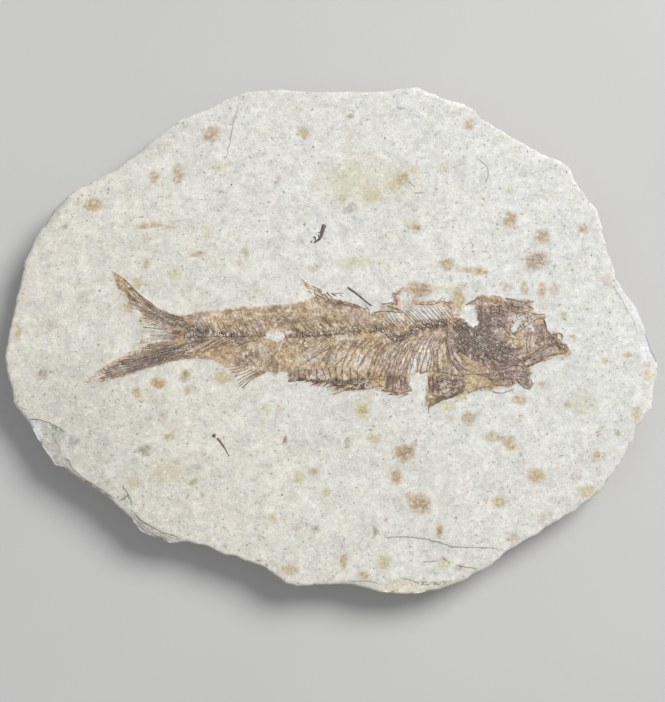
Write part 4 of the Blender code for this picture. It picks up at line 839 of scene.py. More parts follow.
# Lines of the film: kind, width, strength and the points of one or more lines. They are edges of bones,
# cracks in the film and thin flakes, all flat. Their dark and pale lines are partly the colour of bone and
# film, and partly painted shade and painted highlight of the bones' relief.
FILM_LINES = (
    # tail
    ("dark", 0.45, 0.8, ((-52.4, 14.6), (-49.6, 12), (-47.4, 9.9))),
    ("dark", 0.4, 0.6, ((-50.4, 9.9), (-48.4, 8.2))),
    ("brown", 0.4, 0.7, ((-53.6, 13.2), (-51, 10.4), (-50.2, 7.6))), ("dark", 0.5, 0.6, ((-46.4, 9.2),
     (-43, 7), (-40, 5.2)), ((-47.6, 6.8), (-44.4, 5.2), (-40.6, 3.2))),
    ("dark", 0.5, 0.7, ((-40.8, 2.9), (-37.2, 2.2), (-33.8, 0.9))),
    ("black", 0.45, 0.6, ((-38.4, 2.6), (-35, 1.2), (-31.6, 0.4))),
    ("black", 0.5, 0.7, ((-40.4, -3.9), (-37.4, -2.9), (-33.6, -1.4))),
    ("dark", 0.5, 0.8, ((-40.6, -4.8), (-37.4, -4.9), (-34.6, -4.5))),
    ("cream", 0.35, 0.7, ((-39, -4.3), (-37.2, -3.5), (-36.4, -3.2))), ("dark", 0.4, 0.6, ((-41.8, -6.1),
     (-38.4, -5.5), (-35.2, -5.3)), ((-46, -7.4), (-42, -6.4))),
    ("dark", 0.4, 0.5, ((-50.2, -8.3), (-46.4, -7), (-42.6, -5.6))),
    ("tan", 0.35, 0.7, ((-55.6, -7.8), (-50.4, -6.2), (-45, -4.7))),
    ("tan", 0.3, 0.6, ((-52.8, -8.3), (-48.4, -7))),
    # spines over and under the backbone, behind
    ("dark", 0.4, 0.85, ((-34.9, 4.9), (-33.2, 2.9), (-31, 0.9))),
    ("cream", 0.4, 0.75, ((-34.4, 4.6), (-32.6, 2.6), (-31.4, 1.4))),
    ("dark", 0.4, 0.8, ((-33.9, 4.5), (-32.2, 2.6), (-30.6, 0.7))),
    ("dark", 0.35, 0.8, ((-30.8, -1.1), (-33.4, -2.4), (-36.2, -3.3))),
    ("pink", 0.35, 0.8, ((-30.6, -1.5), (-33, -2.7), (-35.6, -3.7))),
    ("dark", 0.35, 0.8, ((-28.4, -1.1), (-30.8, -2.7), (-33.2, -4))),
    ("bone", 0.35, 0.7, ((-28.2, -1.5), (-30.4, -3), (-32, -4))), ("dark", 0.35, 0.8, ((-27, -1.4),
     (-29.2, -2.9), (-31.9, -4.3)), ((-24.9, -1.2), (-27, -2.3), (-29.4, -3.3)), ((-21.4, -0.6),
     (-25.2, -2), (-28.6, -3.3)), ((-18.5, -1.3), (-20.6, -1.8), (-22.8, -2.6))),
    ("bone", 0.3, 0.6, ((-21.6, -1), (-24.6, -2.2))), ("bone", 0.6, 0.9, ((-20.6, -3.2), (-19.2, -3.9))),
    ("cream", 0.7, 0.9, ((-17.9, -2.6), (-17.6, -3.8))),
    ("dark", 0.35, 0.7, ((-17.4, 0.4), (-18, 2.2), (-18.9, 3.8))),
    ("dark", 0.3, 0.6, ((-19.6, 0.6), (-20, 2.4), (-21, 3.8))),
    ("cream", 0.45, 0.9, ((-11.6, 1.3), (-13.2, 1.5), (-14.6, 1))),
    ("cream", 0.4, 0.9, ((-11.9, -1.4), (-12.3, -2.4), (-12.8, -3.5))),
    ("bone", 0.3, 0.6, ((-17.4, 4.2), (-16.6, 2.9))), ("dark", 0.3, 0.6, ((-16.4, 2.8), (-15.4, 1.2))),
    # middle
    ("dark", 0.6, 0.7, ((-8.8, 0.2), (-7.4, 1), (-6.6, 0.2))),
    ("dark", 0.3, 0.6, ((-9.1, -1), (-9.9, -2.6))), ("dark", 0.35, 0.7, ((-10.8, -1.2), (-12, -2.8))),
    ("cream", 0.3, 0.7, ((-1.9, 2.2), (-0.8, 1.4))),
    ("dark", 0.35, 0.75, ((-5, 2.8), (-3.8, 1.4), (-2.8, 0.4))),
    ("dark", 0.3, 0.7, ((-2.6, 2.7), (-1.2, 1.6))), ("dark", 0.35, 0.75, ((-0.3, 2.8), (1, 1.8))),
    ("dark", 0.35, 0.8, ((2.2, 3.4), (3.6, 2))), ("dark", 0.3, 0.7, ((5.2, 2.2), (6.2, 3.2))),
    ("brown", 0.35, 0.7, ((10.4, 5.2), (12.2, 4), (14.6, 3.4))),
    ("dark", 0.3, 0.6, ((-0.6, -2.6), (-3.4, -5), (-6.8, -7.4))),
    ("brown", 0.35, 0.8, ((-0.4, -2.6), (-2.8, -4.2), (-4.8, -5.2))),
    ("dark", 0.5, 0.7, ((9.6, -9.6), (9.8, -11.4))),
    # behind the head
    ("olive", 0.4, 0.8, ((14.2, 7.2), (16.6, 6.6), (18.4, 5.6))),
    ("red", 0.4, 0.8, ((15.2, 9.4), (16.4, 8.8), (16.6, 7.6))),
    ("cream", 0.6, 0.5, ((14.8, 5), (17.4, 4.4))), ("brown", 0.35, 0.8, ((14.4, 3.2), (16.6, 1.6))),
    ("brown", 0.35, 0.7, ((17.2, 4.2), (19, 2.2))), ("bone", 0.5, 0.7, ((15.6, 3.6), (17.4, 2.2))),
    ("cream", 0.35, 0.8, ((13.6, -0.4), (15.2, -1.6))),
    # breast fin and shoulder
    ("cream", 0.35, 0.7, ((23.6, -9.2), (26.2, -9.3))), ("bone", 0.35, 0.6, ((27.4, -12.3), (29.4, -12.8))),
    ("bone", 0.3, 0.5, ((27.2, -13.4), (28.4, -13.4))), ("dark", 0.35, 0.7, ((25, -17.6), (27, -17))),
    ("bone", 0.4, 0.8, ((29.4, 1.4), (29.2, -1.4), (29, -3.4))), ("bone", 0.35, 0.8, ((30.5, -1),
     (30.4, -3.4), (31.2, -5.6), (33, -8.1), (35.4, -9.4))),
    # skull
    ("dark", 0.4, 0.8, ((33.9, 7.5), (35.2, 8.5), (37, 9.6), (38.4, 10))),
    ("umber", 0.35, 0.8, ((37.6, 10.2), (40.4, 9.9), (44.6, 9.4))),
    ("dark", 0.35, 0.8, ((43, 9.6), (45.6, 9), (48.6, 8.3), (51, 8.7))),
    ("black", 0.35, 0.7, ((46.4, 5.6), (47.6, 5), (49.6, 5.6))),
    ("cream", 0.45, 0.8, ((40.2, 7.8), (41.4, 7.4))), ("black", 0.4, 0.7, ((41.4, 7), (43.6, 7.2))),
    ("bone", 0.5, 0.6, ((38, 8), (39.6, 7.6))), ("black", 0.4, 0.7, ((42.2, 3.6), (43.6, 2.6), (44.8, 1))),
    ("cream", 0.5, 0.9, ((49, 2.2), (50.6, 3.6))), ("dark", 0.4, 0.7, ((44, -0.6), (45.4, -1), (46.6, -1.2),
     (47.4, -1.4))), ("black", 0.4, 0.7, ((43.2, -1), (44.4, -1.4))),
    ("dark", 0.4, 0.6, ((41, -2.8), (43.2, -3.6), (45.6, -3.2))),
    ("bone", 0.35, 0.7, ((49.2, 0.8), (49, -1.4), (48.8, -4))),
    ("bone", 0.5, 0.8, ((52.2, 0.2), (51.2, -1.2), (50.6, -2.6))),
    ("dark", 0.4, 0.8, ((52.8, 4.3), (53.4, 3.8), (53.7, 2.8))),
    ("cream", 0.45, 0.85, ((48.8, -7.4), (49.6, -6.9))),
    ("bone", 0.35, 0.8, ((51.4, -6), (53.4, -5.1), (55.4, -4.3))), ("cream", 0.45, 0.8, ((40.6, -13.9),
     (42.6, -14.2), (44.6, -13.7), (45.6, -13.2))),
)

# Bones of the head and shoulder that still stand up from the film: height and outline.
RAISED_BONES = (
    (0.26, ((30.7, 2.6), (34.4, 3), (38.5, 1.9), (42.4, 1.2), (44.6, -2.4), (47.9, -4.3), (46.6, -7.2),
     (42, -8.5), (37.5, -8.9), (34, -7.6), (31.8, -5), (30.5, -1.4))), (0.2, ((37, 2.9), (36.7, 7),
     (38.2, 8.2), (43.2, 7.8), (45.2, 6), (44.8, 3.2), (43.2, 1.9), (40, 2.2))), (0.24, ((34.4, 7.9),
     (38, 9.7), (42.6, 9.4), (47.2, 8.5), (50.8, 6.6), (50.6, 5.9), (46.4, 6.7), (43.4, 8.2), (38.2, 8.6))),
    (0.22, ((49.2, -0.2), (50.6, 2.2), (52.8, 4.2), (53.4, 3), (54.3, 0.7), (56.6, -0.9), (58.8, -2.9),
     (57.8, -4), (54.6, -2.8), (51.2, -4.2), (49, -3.4))), (0.18, ((38.4, -9.4), (41.6, -8.9), (46, -8),
     (49, -8.4), (50, -9.6), (48.4, -10.9), (46, -12.2), (42, -12.1), (39.6, -11.2))), (0.2, ((24.6, -10.3),
     (28, -9.8), (32.3, -10.4), (33.7, -11.9), (33, -14.2), (30.4, -15.6), (26.6, -16.6), (25, -15),
     (24.4, -12.4))), (0.14, ((15.2, -9.4), (13.8, -13.5), (16.8, -15.2), (20, -13.9), (19.2, -11.2))),
)


def inside_outline(x, y, outline):
    """Distance inside a closed outline, negative outside it."""
    best = np.full(x.shape, 1e9)
    crossings = np.zeros(x.shape, int)
    for (x0, y0), (x1, y1) in zip(outline, outline[1:] + outline[:1]):
        dx, dy = x1 - x0, y1 - y0
        along = np.clip(((x - x0) * dx + (y - y0) * dy) / (dx * dx + dy * dy), 0, 1)
        best = np.minimum(best, np.hypot(x - x0 - along * dx, y - y0 - along * dy))
        if dy:
            crossings += ((y0 > y) != (y1 > y)) & (x < x0 + (y - y0) * dx / dy)
    return np.where(crossings % 2 == 1, best, -best)


def patch_mask(x, y, patch, hard, soft):
    """1 in the middle of a turned ellipse and 0 outside it."""
    middle_x, middle_y, length, width, turn = patch
    c, s = math.cos(math.radians(turn)), math.sin(math.radians(turn))
    along = ((x - middle_x) * c + (y - middle_y) * s) / (0.5 * length)
    across = ((y - middle_y) * c - (x - middle_x) * s) / (0.5 * width)
    return 1 - ramp(np.hypot(along, across), hard, soft)


# Where the film is thin and the stone shows between its crumbs: middle, length, width, turn, strength.
FADED_PATCHES = (
    (-43.2, 0.8, 9, 6.4, 0, 0.72), (-46.6, 2.2, 3, 5, 0, 0.6), (-48.6, 5.4, 5, 3, -30, 0.8),
    (-51.8, 8.8, 2.6, 5, 25, 0.8), (-47.4, -3, 4.4, 2.4, 20, 0.85), (-51.4, -5, 5.6, 1.6, 22, 0.45),
    (-59.6, -11, 5.4, 3, 12, 0.55), (23.8, 9.2, 6.6, 2, 0, 0.8), (-48.5, 7.6, 2.4, 2.2, 0, 0.7),
    (-22.2, -11.2, 8.4, 4.8, 30, 0.92), (-25.4, -8.6, 4.6, 2, 10, 0.7), (-12.6, -9.8, 4.2, 1.6, 0, 0.5),
    (-2, -14, 8, 1.8, -8, 0.85), (4.6, -14.6, 8, 1.2, 0, 0.75), (10.8, 6.6, 4, 2.2, 0, 0.7),
    (13.4, 6.8, 4.6, 3, 0, 0.5), (15.2, 4.8, 3.6, 2.2, -10, 0.75), (22.4, 12, 9, 4.6, 0, 0.92),
    (28.5, 10.8, 7.6, 4.4, 0, 0.95), (32.4, 9.4, 3.6, 6.6, 0, 0.85), (19, 9.6, 4.4, 5, 0, 0.85),
    (18.4, 6.6, 3, 2.6, 0, 0.5), (21.4, 12.8, 3.6, 1.4, 0, 0.3), (26.6, 10.2, 5, 2.2, 0, 0.85),
    (29.2, 12, 3.6, 1.2, 0, 0.5), (28, 8.9, 5.6, 1.8, 0, 0.8), (31.2, 9.6, 1.6, 4, 0, 0.3),
    (24, 5.6, 11, 4.6, -6, 0.85), (32, 6, 2.4, 4, 0, 0.7), (23.6, -6.6, 2.6, 6.4, -18, 0.6),
    (17.4, -4.8, 2.2, 5, -28, 0.35), (7.4, -7.2, 5.6, 3.6, 20, 0.4), (1.4, -7.4, 3, 2.4, 0, 0.4),
    (26, -18.2, 4.6, 2.2, 25, 0.55), (24.4, -19, 1.6, 1.8, 0, 0.4), (38.4, -12.2, 5.4, 2.4, 8, 0.3),
    (42.8, -13.6, 6, 1.8, 0, 0.7), (35.2, -14.4, 3, 1.2, 10, 0.5), (49, 3, 6, 5.4, 20, 0.6),
    (46.4, 4.6, 3.6, 3.4, 0, 0.55), (48.6, 7.4, 4.6, 1.6, -10, 0.5), (51.6, 7.2, 2.2, 2.6, 0, 0.6),
    (56.8, -5.4, 5.6, 1.5, 5, 0.6), (51.6, -7.4, 3, 1.2, 30, 0.8), (54, -0.6, 2.2, 1.4, 0, 0.3),
    (50, -2.6, 1.6, 3, 0, 0.4), (-6.8, 11.6, 2.2, 1.8, 0, 0.7),
)


def film_cover(x, y, outline=FISH_OUTLINE):
    """How far the film covers the stone: 1 on the fish, 0 on bare stone, ragged between."""
    ragged = 0.4 * noise(x, y, 1.3, 71) + 0.3 * noise(x, y, 0.6, 72)
    crisp = np.maximum(1 - ramp(x, -46, -40), (1 - ramp(x, -26, -20)) * ramp(-y, 1, 3))
    ragged, give = ragged * (1 - 0.85 * crisp), 1 - 0.7 * crisp
    cover = ramp((inside_outline(x, y, outline) + ragged) / give, -0.6, 1)
    for *patch, strength in FADED_PATCHES:
        near = close_to(x, y, patch, 7, 7)
        cover[near] = cover[near] * (1 - strength * patch_mask(x[near], y[near], patch, 0.35, 1.25))
    cover = cover - 0.3 * ramp(cover, 0.1, 0.5) * (1 - ramp(cover, 0.6, 0.95)) * film_grain(x, y)
    wx, wy = shaken(x, y, 73, (0.3, 0.9))
    for patch in BARE_PATCHES:
        near = close_to(x, y, patch, 6, 6)
        cover[near] = cover[near] * (1 - patch_mask(wx[near], wy[near], patch, 0.8, 1.15))
    return cover


def streaks(x, y, heading, long, fine, seed):
    """Noise drawn out along a heading, for muscle bands, rib shadows and rays."""
    c, s = math.cos(math.radians(heading)), math.sin(math.radians(heading))
    along, across = x * c + y * s, y * c - x * s
    return noise(along / long, across / fine, 1, seed)


def film_grain(x, y):
    """Dark and pale bands and granules of the film, about 0 on the mean."""
    above, below = ramp(y, 0.2, 1.6), 1 - ramp(y, -1.6, -0.2)
    body = ramp(x, -37, -33) * (1 - ramp(x, 28, 30))
    front = ramp(x, 8, 14)
    grain = 0.5 * above * body * (1 - front) * streaks(x, y, 128, 2.6, 0.5, 81)
    grain = grain + 0.5 * below * body * (1 - front) * streaks(x, y, 220, 2.8, 0.5, 82)
    upper_front = ramp(x, 17, 20) * ramp(y, 2.4, 3.4) * (1 - ramp(y, 7.4, 8.2))
    upper_front = upper_front * (1 - ramp(x, 31, 32.5))
    grain = grain + 0.4 * upper_front * np.sin((0.64 * x + 0.77 * y) * 9.2 + 1.5 * noise(x, y, 2.2, 83))
    ribbed = front * (1 - ramp(x, 28, 29.5)) * ramp(-y, 2.2, 3.4) * (1 - ramp(-y, 9.6, 10.6))
    lean = np.interp(x, [8, 14, 20, 25, 28], [56, 60, 64, 72, 82])
    across = x * np.sin(np.radians(lean)) - y * np.cos(np.radians(lean))
    grain = grain + 0.35 * ribbed * np.sin(across * 8.6 + 1.6 * noise(x, y, 1.8, 84))
    tail = 1 - ramp(x, -38.5, -35.5)
    fan = np.arctan2(y - 0.5, -(x + 32.5))
    upper_rays = np.sin(fan * 122 + 1.2 * noise(x, y, 3, 85)) * ramp(y, -2.4, -0.8)
    behind = x + 36
    lower_rays = np.sin((y - 0.24 * behind) * (9.4 + 0.12 * behind) + noise(x, y, 3, 86))
    lower_rays = lower_rays * (1 - ramp(y, -2.4, -0.8))
    grain = grain + 0.45 * tail * (upper_rays + lower_rays)
    granules = 0.55 * noise(x, y, 0.45, 87) + 0.45 * noise(x, y, 0.9, 88) + 0.3 * noise(x, y, 2.1, 89)
    bony = ramp(x, 29, 32)
    return grain + granules * (0.75 + 0.25 * bony)


def film_color(x, y):
    """Colour of the film in linear values: its patches, then its bands and granules, then its lines."""
    wx, wy = shaken(x, y, 91, (0.4, 1.4), (0.25, 0.6))
    color = np.broadcast_to(linear(FILM_COLORS["tan"]), x.shape + (3,)).copy()
    for *patch, kind, strength in FILM_PATCHES:
        near = close_to(x, y, patch, patch[2] * 0.7 + 1, patch[2] * 0.7 + 1)
        soak = strength * patch_mask(wx[near], wy[near], patch, 0.5, 1.2)
        color[near] = laid(color[near], linear(FILM_COLORS[kind]), soak)
    grain = film_grain(x, y)[..., None]
    hue = np.stack([noise(x, y, 2.6, 61), noise(x, y, 2.6, 62), noise(x, y, 3.4, 63)], -1)
    mottle = 0.12 * noise(x, y, 1.7, 64) + 0.12 * noise(x, y, 0.8, 65)
    color = color * (1 + hue * (0.03, 0.03, 0.07) + mottle[..., None])
    flecks = (noise(x, y, 0.9, 66) + 0.4 * noise(x, y, 0.5, 67)) * (1 - 0.4 * ramp(x, 29, 32))
    color = color + (linear((230, 217, 198)) - color) * 0.6 * ramp(flecks, 0.22, 0.7)[..., None]
    color = color + (linear((112, 86, 72)) - color) * 0.45 * ramp(-flecks, 0.25, 0.75)[..., None]
    dark, pale = color * 0.5, color * 0.45 + 0.55 * linear(FILM_COLORS["cream"])
    lows, highs = np.clip(-grain * 0.7, 0, 1), np.clip(grain * 0.7, 0, 1)
    color = color + (dark - color) * lows + (pale - color) * highs
    lx, ly = shaken(x, y, 95, (0.12, 0.8))
    broken = 0.75 + 0.35 * noise(x, y, 0.6, 97)
    # The lines give the bones' own colour and also painted shade and painted highlight along their edges.
    for kind, width, strength, *lines in FILM_LINES:
        for line in lines:
            xs, ys = zip(*line)
            near = (x > min(xs) - 1) & (x < max(xs) + 1) & (y > min(ys) - 1) & (y < max(ys) + 1)
            if near.any():
                distance = nearest(lx[near], ly[near], line)[0]
                soak = strength * (1 - ramp(distance, 0.3 * width, 0.85 * width)) * broken[near]
                color[near] = laid(color[near], linear(FILM_COLORS[kind]), np.clip(soak, 0, 1))
    return color


def film_height(x, y, outline=FISH_OUTLINE):
    """Height of the film: a skin on the face, humped over the bones, that sinks past its outline."""
    depth = inside_outline(x, y, outline)
    rise = 0.04 + FILM_RISE * ramp(depth, -0.5, 0.9) - 0.14 * (1 - ramp(depth, -FILM_BORDER, -0.1))
    for height, ridge in RAISED_BONES:
        rise = rise + height * ramp(inside_outline(x, y, ridge), -0.25, 0.7)
    body = ramp(x, -46, -30) * ramp(depth, 0, 1.5)
    rise = rise + 0.12 * np.exp(-(y / 1.6) ** 2) * body * (1 - ramp(x, 28, 31))
    rise = rise + 0.045 * film_grain(x, y) * ramp(depth, 0, 0.6)
    bare = 1 - film_cover(x, y, outline)
    return face_height(x, y) + rise - 0.1 * bare * ramp(depth, 0, 0.4)


fossil_finish, shader, place = new_material("fossil_finish")
stone_color, stone_relief = stone_surface(place)
tint, cover = place.stored("tint", 0), place.stored("cover")
crumbs = lumps(place, 0.5, 3, 0.8)
spots = lumps(place, 1.6, 2, 0.6)
granule = step(crumbs, 0.36, 0.64)
shade = 0.52 + 0.58 * granule + 0.46 * spots
film = shaded(tint, shade)
film = blended(film, (232, 226, 218), step(crumbs, 0.57, 0.7) * 0.48)
film = blended(film, (78, 64, 62), (1 - step(crumbs, 0.28, 0.42)) * 0.5)
covered = step(cover + 1.1 * crumbs - 0.55, 0.05, 0.85)
color = blended(stone_color, film, covered)
dullness = 0.82 - covered * (0.2 + 0.2 * spots)
relief = stone_relief * (1 - covered * 0.6) + covered * (1.2 * crumbs + 0.2)
feed(shader, color, dullness, bump(relief, 0.6, 0.16), 0.35)


def lay_film(name, outline, pitch, node):
    """A skin over the stone inside an outline, closed down into the stone all round."""
    outline_x, outline_y = zip(*outline)
    x, y = np.meshgrid(np.arange(min(outline_x) - 1, max(outline_x) + 1, pitch),
                       np.arange(min(outline_y) - 1, max(outline_y) + 1, pitch), indexing="ij")
    kept = inside_outline(x, y, outline) > -FILM_BORDER
    cells = kept[:-1, :-1] & kept[1:, :-1] & kept[:-1, 1:] & kept[1:, 1:]
    used = np.zeros(kept.shape, bool)
    for i, j in ((0, 0), (1, 0), (0, 1), (1, 1)):
        used[i:i + cells.shape[0], j:j + cells.shape[1]] |= cells
    number = np.cumsum(used.ravel()).reshape(used.shape) - 1
    x, y = x[used], y[used]
    points = np.stack([x, y, film_height(x, y, outline)], 1)
    corners = (number[:-1, :-1], number[1:, :-1], number[1:, 1:], number[:-1, 1:])
    faces = np.stack([corner[cells] for corner in corners], 1)
    edges = np.concatenate([faces[:, [k, (k + 1) % 4]] for k in range(4)])
    seen = set(map(tuple, edges.tolist()))
    rim = sorted((a, b) for a, b in seen if (b, a) not in seen)
    sunken = {a: len(points) + k for k, (a, b) in enumerate(rim)}
    feet = points[[a for a, b in rim]]
    feet[:, 2] = FILM_FLOOR
    points = np.concatenate([points, feet])
    faces = faces.tolist() + [(b, a, sunken[a], sunken[b]) for a, b in rim]
    skin = new_object(name, points, faces, fossil_finish)
    mesh = bmesh.new()
    mesh.from_mesh(skin.data)
    open_edges = [edge for edge in mesh.edges if edge.is_boundary]
    bmesh.ops.triangle_fill(mesh, edges=open_edges, use_beauty=False, normal=(0.0, 0.0, -1.0))
    mesh.to_mesh(skin.data)
    mesh.free()
    x, y = points[:, 0], points[:, 1]
    dress_stone(skin.data, x, y)
    store(skin.data, tint=film_color(x, y), cover=film_cover(x, y, outline))
    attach(skin, "root")
    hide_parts(node)


lay_film("pressed_fish", FISH_OUTLINE, FILM_PITCH, "fossil_fish")

# Backbone: the fish's spool-shaped vertebrae, mineralised to dark brown and crushed into a chain. Each
# is a spool with two flared ends, laid end to end along the two runs that the split has left.
BACKBONE_RUNS = (
    ((-35.8, -0.3), (-30, 0), (-24, 0), (-16.8, 0.1)),
    ((-10.6, -0.3), (-7, 0), (0, 0.4), (5, 1.1), (9.5, 1.1), (12, 1.4), (14.2, 0.4), (15.8, -0.9),
     (17.6, -1.2), (19.4, 0.2), (21.4, 1.5), (24, 2.4), (27, 2.9), (30.4, 2.9)),
)
VERTEBRA_PITCH = 1.42
VERTEBRA_LENGTH = 1.2
VERTEBRA_RADIUS = 0.6
BONE_FLATTENING = 0.5         # crushed height of a bone, as a share of its round height
BONE_LIFT = 0.06              # a bone's middle line lies this far over the film


def bone_tree(name, numbers):
    """A Geometry Nodes tree with named inputs: returns the tree and a wire for each input."""
    tree = bpy.data.node_groups.new(name, "GeometryNodeTree")
    tree.interface.new_socket("Geometry", in_out="INPUT", socket_type="NodeSocketGeometry")
    for label, value in numbers.items():
        kind = "NodeSocketInt" if isinstance(value, int) else "NodeSocketFloat"
        tree.interface.new_socket(label, in_out="INPUT", socket_type=kind).default_value = value
    tree.interface.new_socket("Geometry", in_out="OUTPUT", socket_type="NodeSocketGeometry")
    entry = tree.nodes.new("NodeGroupInput")
    return tree, {socket.name: Wire(tree, socket) for socket in entry.outputs if socket.name}


def curve_of(edges):
    return edges.node("GeometryNodeMeshToCurve", {}, {0: edges})


def points_along(curve, **spacing):
    """A curve with points at a set number or a set length from each other."""
    mode = next(iter(spacing)).upper()
    return curve.node("GeometryNodeResampleCurve", {"mode": mode}, {0: curve, **spacing})


def tube(curve, sides, radius):
    """A closed tube round a curve."""
    ring = curve.node("GeometryNodeCurvePrimitiveCircle", {}, {"Resolution": sides, "Radius": 1.0})
    sockets = {0: curve, 1: ring, "Scale": radius, "Fill Caps": True}
    return curve.node("GeometryNodeCurveToMesh", {}, sockets)


def chance_of(wire, low, high, seed, **more):
    """A random number, or three, from low to high for each point."""
    kind, first, output = ("FLOAT_VECTOR", 0, 0) if isinstance(low, tuple) else ("FLOAT", 2, 1)
    sockets = {first: low, first + 1: high, "Seed": seed, **more}
    return wire.node("FunctionNodeRandomValue", {"data_type": kind}, sockets, output)


def push_of(wobble, reach):
    """A push to any side, from the colour of a noise."""
    wobble = wobble.vector("SUBTRACT", wobble, (0.5, 0.5, 0.5))
    return wobble.vector("SCALE", wobble, Scale=reach * MM)


def close_tree(wire, material):
    """Ends a tree: real geometry, in its material."""
    wire = wire.node("GeometryNodeRealizeInstances", {}, {0: wire})
    wire = wire.node("GeometryNodeSetMaterial", {}, {0: wire, "Material": material})
    end = wire.tree.nodes.new("NodeGroupOutput")
    wire.tree.links.new(wire.socket, end.inputs[0])


def grown(tree, lines, **inputs):
    """The points, in millimetres, and the faces that a tree grows from guide lines."""
    points, edges, ends = [], [], []
    for number, line in enumerate(lines):
        first = len(points)
        points += [(p[0] * MM, p[1] * MM, 0.0) for p in line]
        edges += [(first + k, first + k + 1) for k in range(len(line) - 1)]
        ends += [number] * len(line)
    mesh = bpy.data.meshes.new("guide")
    mesh.from_pydata(points, edges, [])
    store(mesh, line=np.array(ends))
    guide = bpy.data.objects.new("guide", mesh)
    bpy.context.scene.collection.objects.link(guide)
    modifier = guide.modifiers.new("grow", "NODES")
    modifier.node_group = tree
    for item in tree.interface.items_tree:
        if item.in_out == "INPUT" and item.name in inputs:
            modifier[item.identifier] = inputs[item.name]
    bpy.context.view_layer.update()
    result = bpy.data.meshes.new_from_object(guide.evaluated_get(bpy.context.evaluated_depsgraph_get()))
    places = np.array([v.co for v in result.vertices]) / MM
    faces = [tuple(p.vertices) for p in result.polygons]
    guide.modifiers.remove(modifier)
    bpy.data.objects.remove(guide, do_unlink=True)
    return places, faces


def joined(groups):
    """The points and faces of several grown bones as one mesh."""
    faces, first = [], 0
    for places, own in groups:
        faces += [tuple(index + first for index in face) for face in own]
        first += len(places)
    return np.concatenate([places for places, own in groups]), faces


def crushed_bones(name, groups, dark, share, rust=(112, 86, 74), node="fossil_fish"):
    """One piece from grown bones, flattened and laid over the film with the film's own colours."""
    points, faces = joined(groups)
    x, y, high = points[:, 0], points[:, 1], points[:, 2].copy()
    ground = np.maximum(film_height(x, y), face_height(x, y))
    points[:, 2] = ground + BONE_LIFT + BONE_FLATTENING * high
    piece = new_object(name, points, faces, bone_finish)
    crest = ramp(high, 0.05, 0.35)[:, None]
    color = film_color(x, y) * dark * (1 - share) + linear(rust) * share
    pale = ramp(noise(x, y, 0.9, 98), -0.1, 0.6)[:, None] * crest
    store(piece.data, tint=color + (linear(FILM_COLORS["cream"]) - color) * 0.55 * pale)
    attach(piece, "root")
    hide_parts(node)


bone_finish, shader, place = new_material("bone_finish")
tint = place.stored("tint", 0)
pores = lumps(place, 0.55, 3, 0.75)
worn = lumps(place, 1.4, 3, 0.6)
shade = 0.4 + 0.8 * step(pores, 0.34, 0.66) + 0.4 * worn
color = blended(shaded(tint, shade), (214, 204, 190), step(pores, 0.6, 0.74) * 0.4)
feed(shader, color, 0.5 + 0.35 * worn, bump(pores + 0.6 * worn, 0.5, 0.12), 0.4)

spools, wires = bone_tree("spool_chain", {"Pitch": VERTEBRA_PITCH, "Length": VERTEBRA_LENGTH,
                                          "Radius": VERTEBRA_RADIUS, "Seed": 0})
chain = points_along(curve_of(wires["Geometry"]), Length=wires["Pitch"] * MM)
half = wires["Length"] * (0.5 * MM)
foot = chain.node("ShaderNodeCombineXYZ", {}, {2: 0 - half})
head = chain.node("ShaderNodeCombineXYZ", {}, {2: half})
core = chain.node("GeometryNodeCurvePrimitiveLine", {}, {0: foot, 1: head})
core = points_along(core, Count=7)
share = chain.node("GeometryNodeSplineParameter")
flare = (share * 2 - 1) * (share * 2 - 1)
spool = tube(core, 12, wires["Radius"] * MM * (0.55 + 0.45 * flare))
tangent = chain.node("GeometryNodeInputTangent")
turned = chain.node("FunctionNodeAlignRotationToVector", {"axis": "Z"}, {"Vector": tangent})
sizes = chance_of(chain, 0.8, 1.12, wires["Seed"])
placed = {0: chain, "Instance": spool, "Rotation": turned, "Scale": sizes}
close_tree(chain.node("GeometryNodeInstanceOnPoints", {}, placed), bone_finish)
runs = [grown(spools, [run], Seed=number) for number, run in enumerate(BACKBONE_RUNS)]
crushed_bones("backbone", runs, dark=1.0, share=0.15)

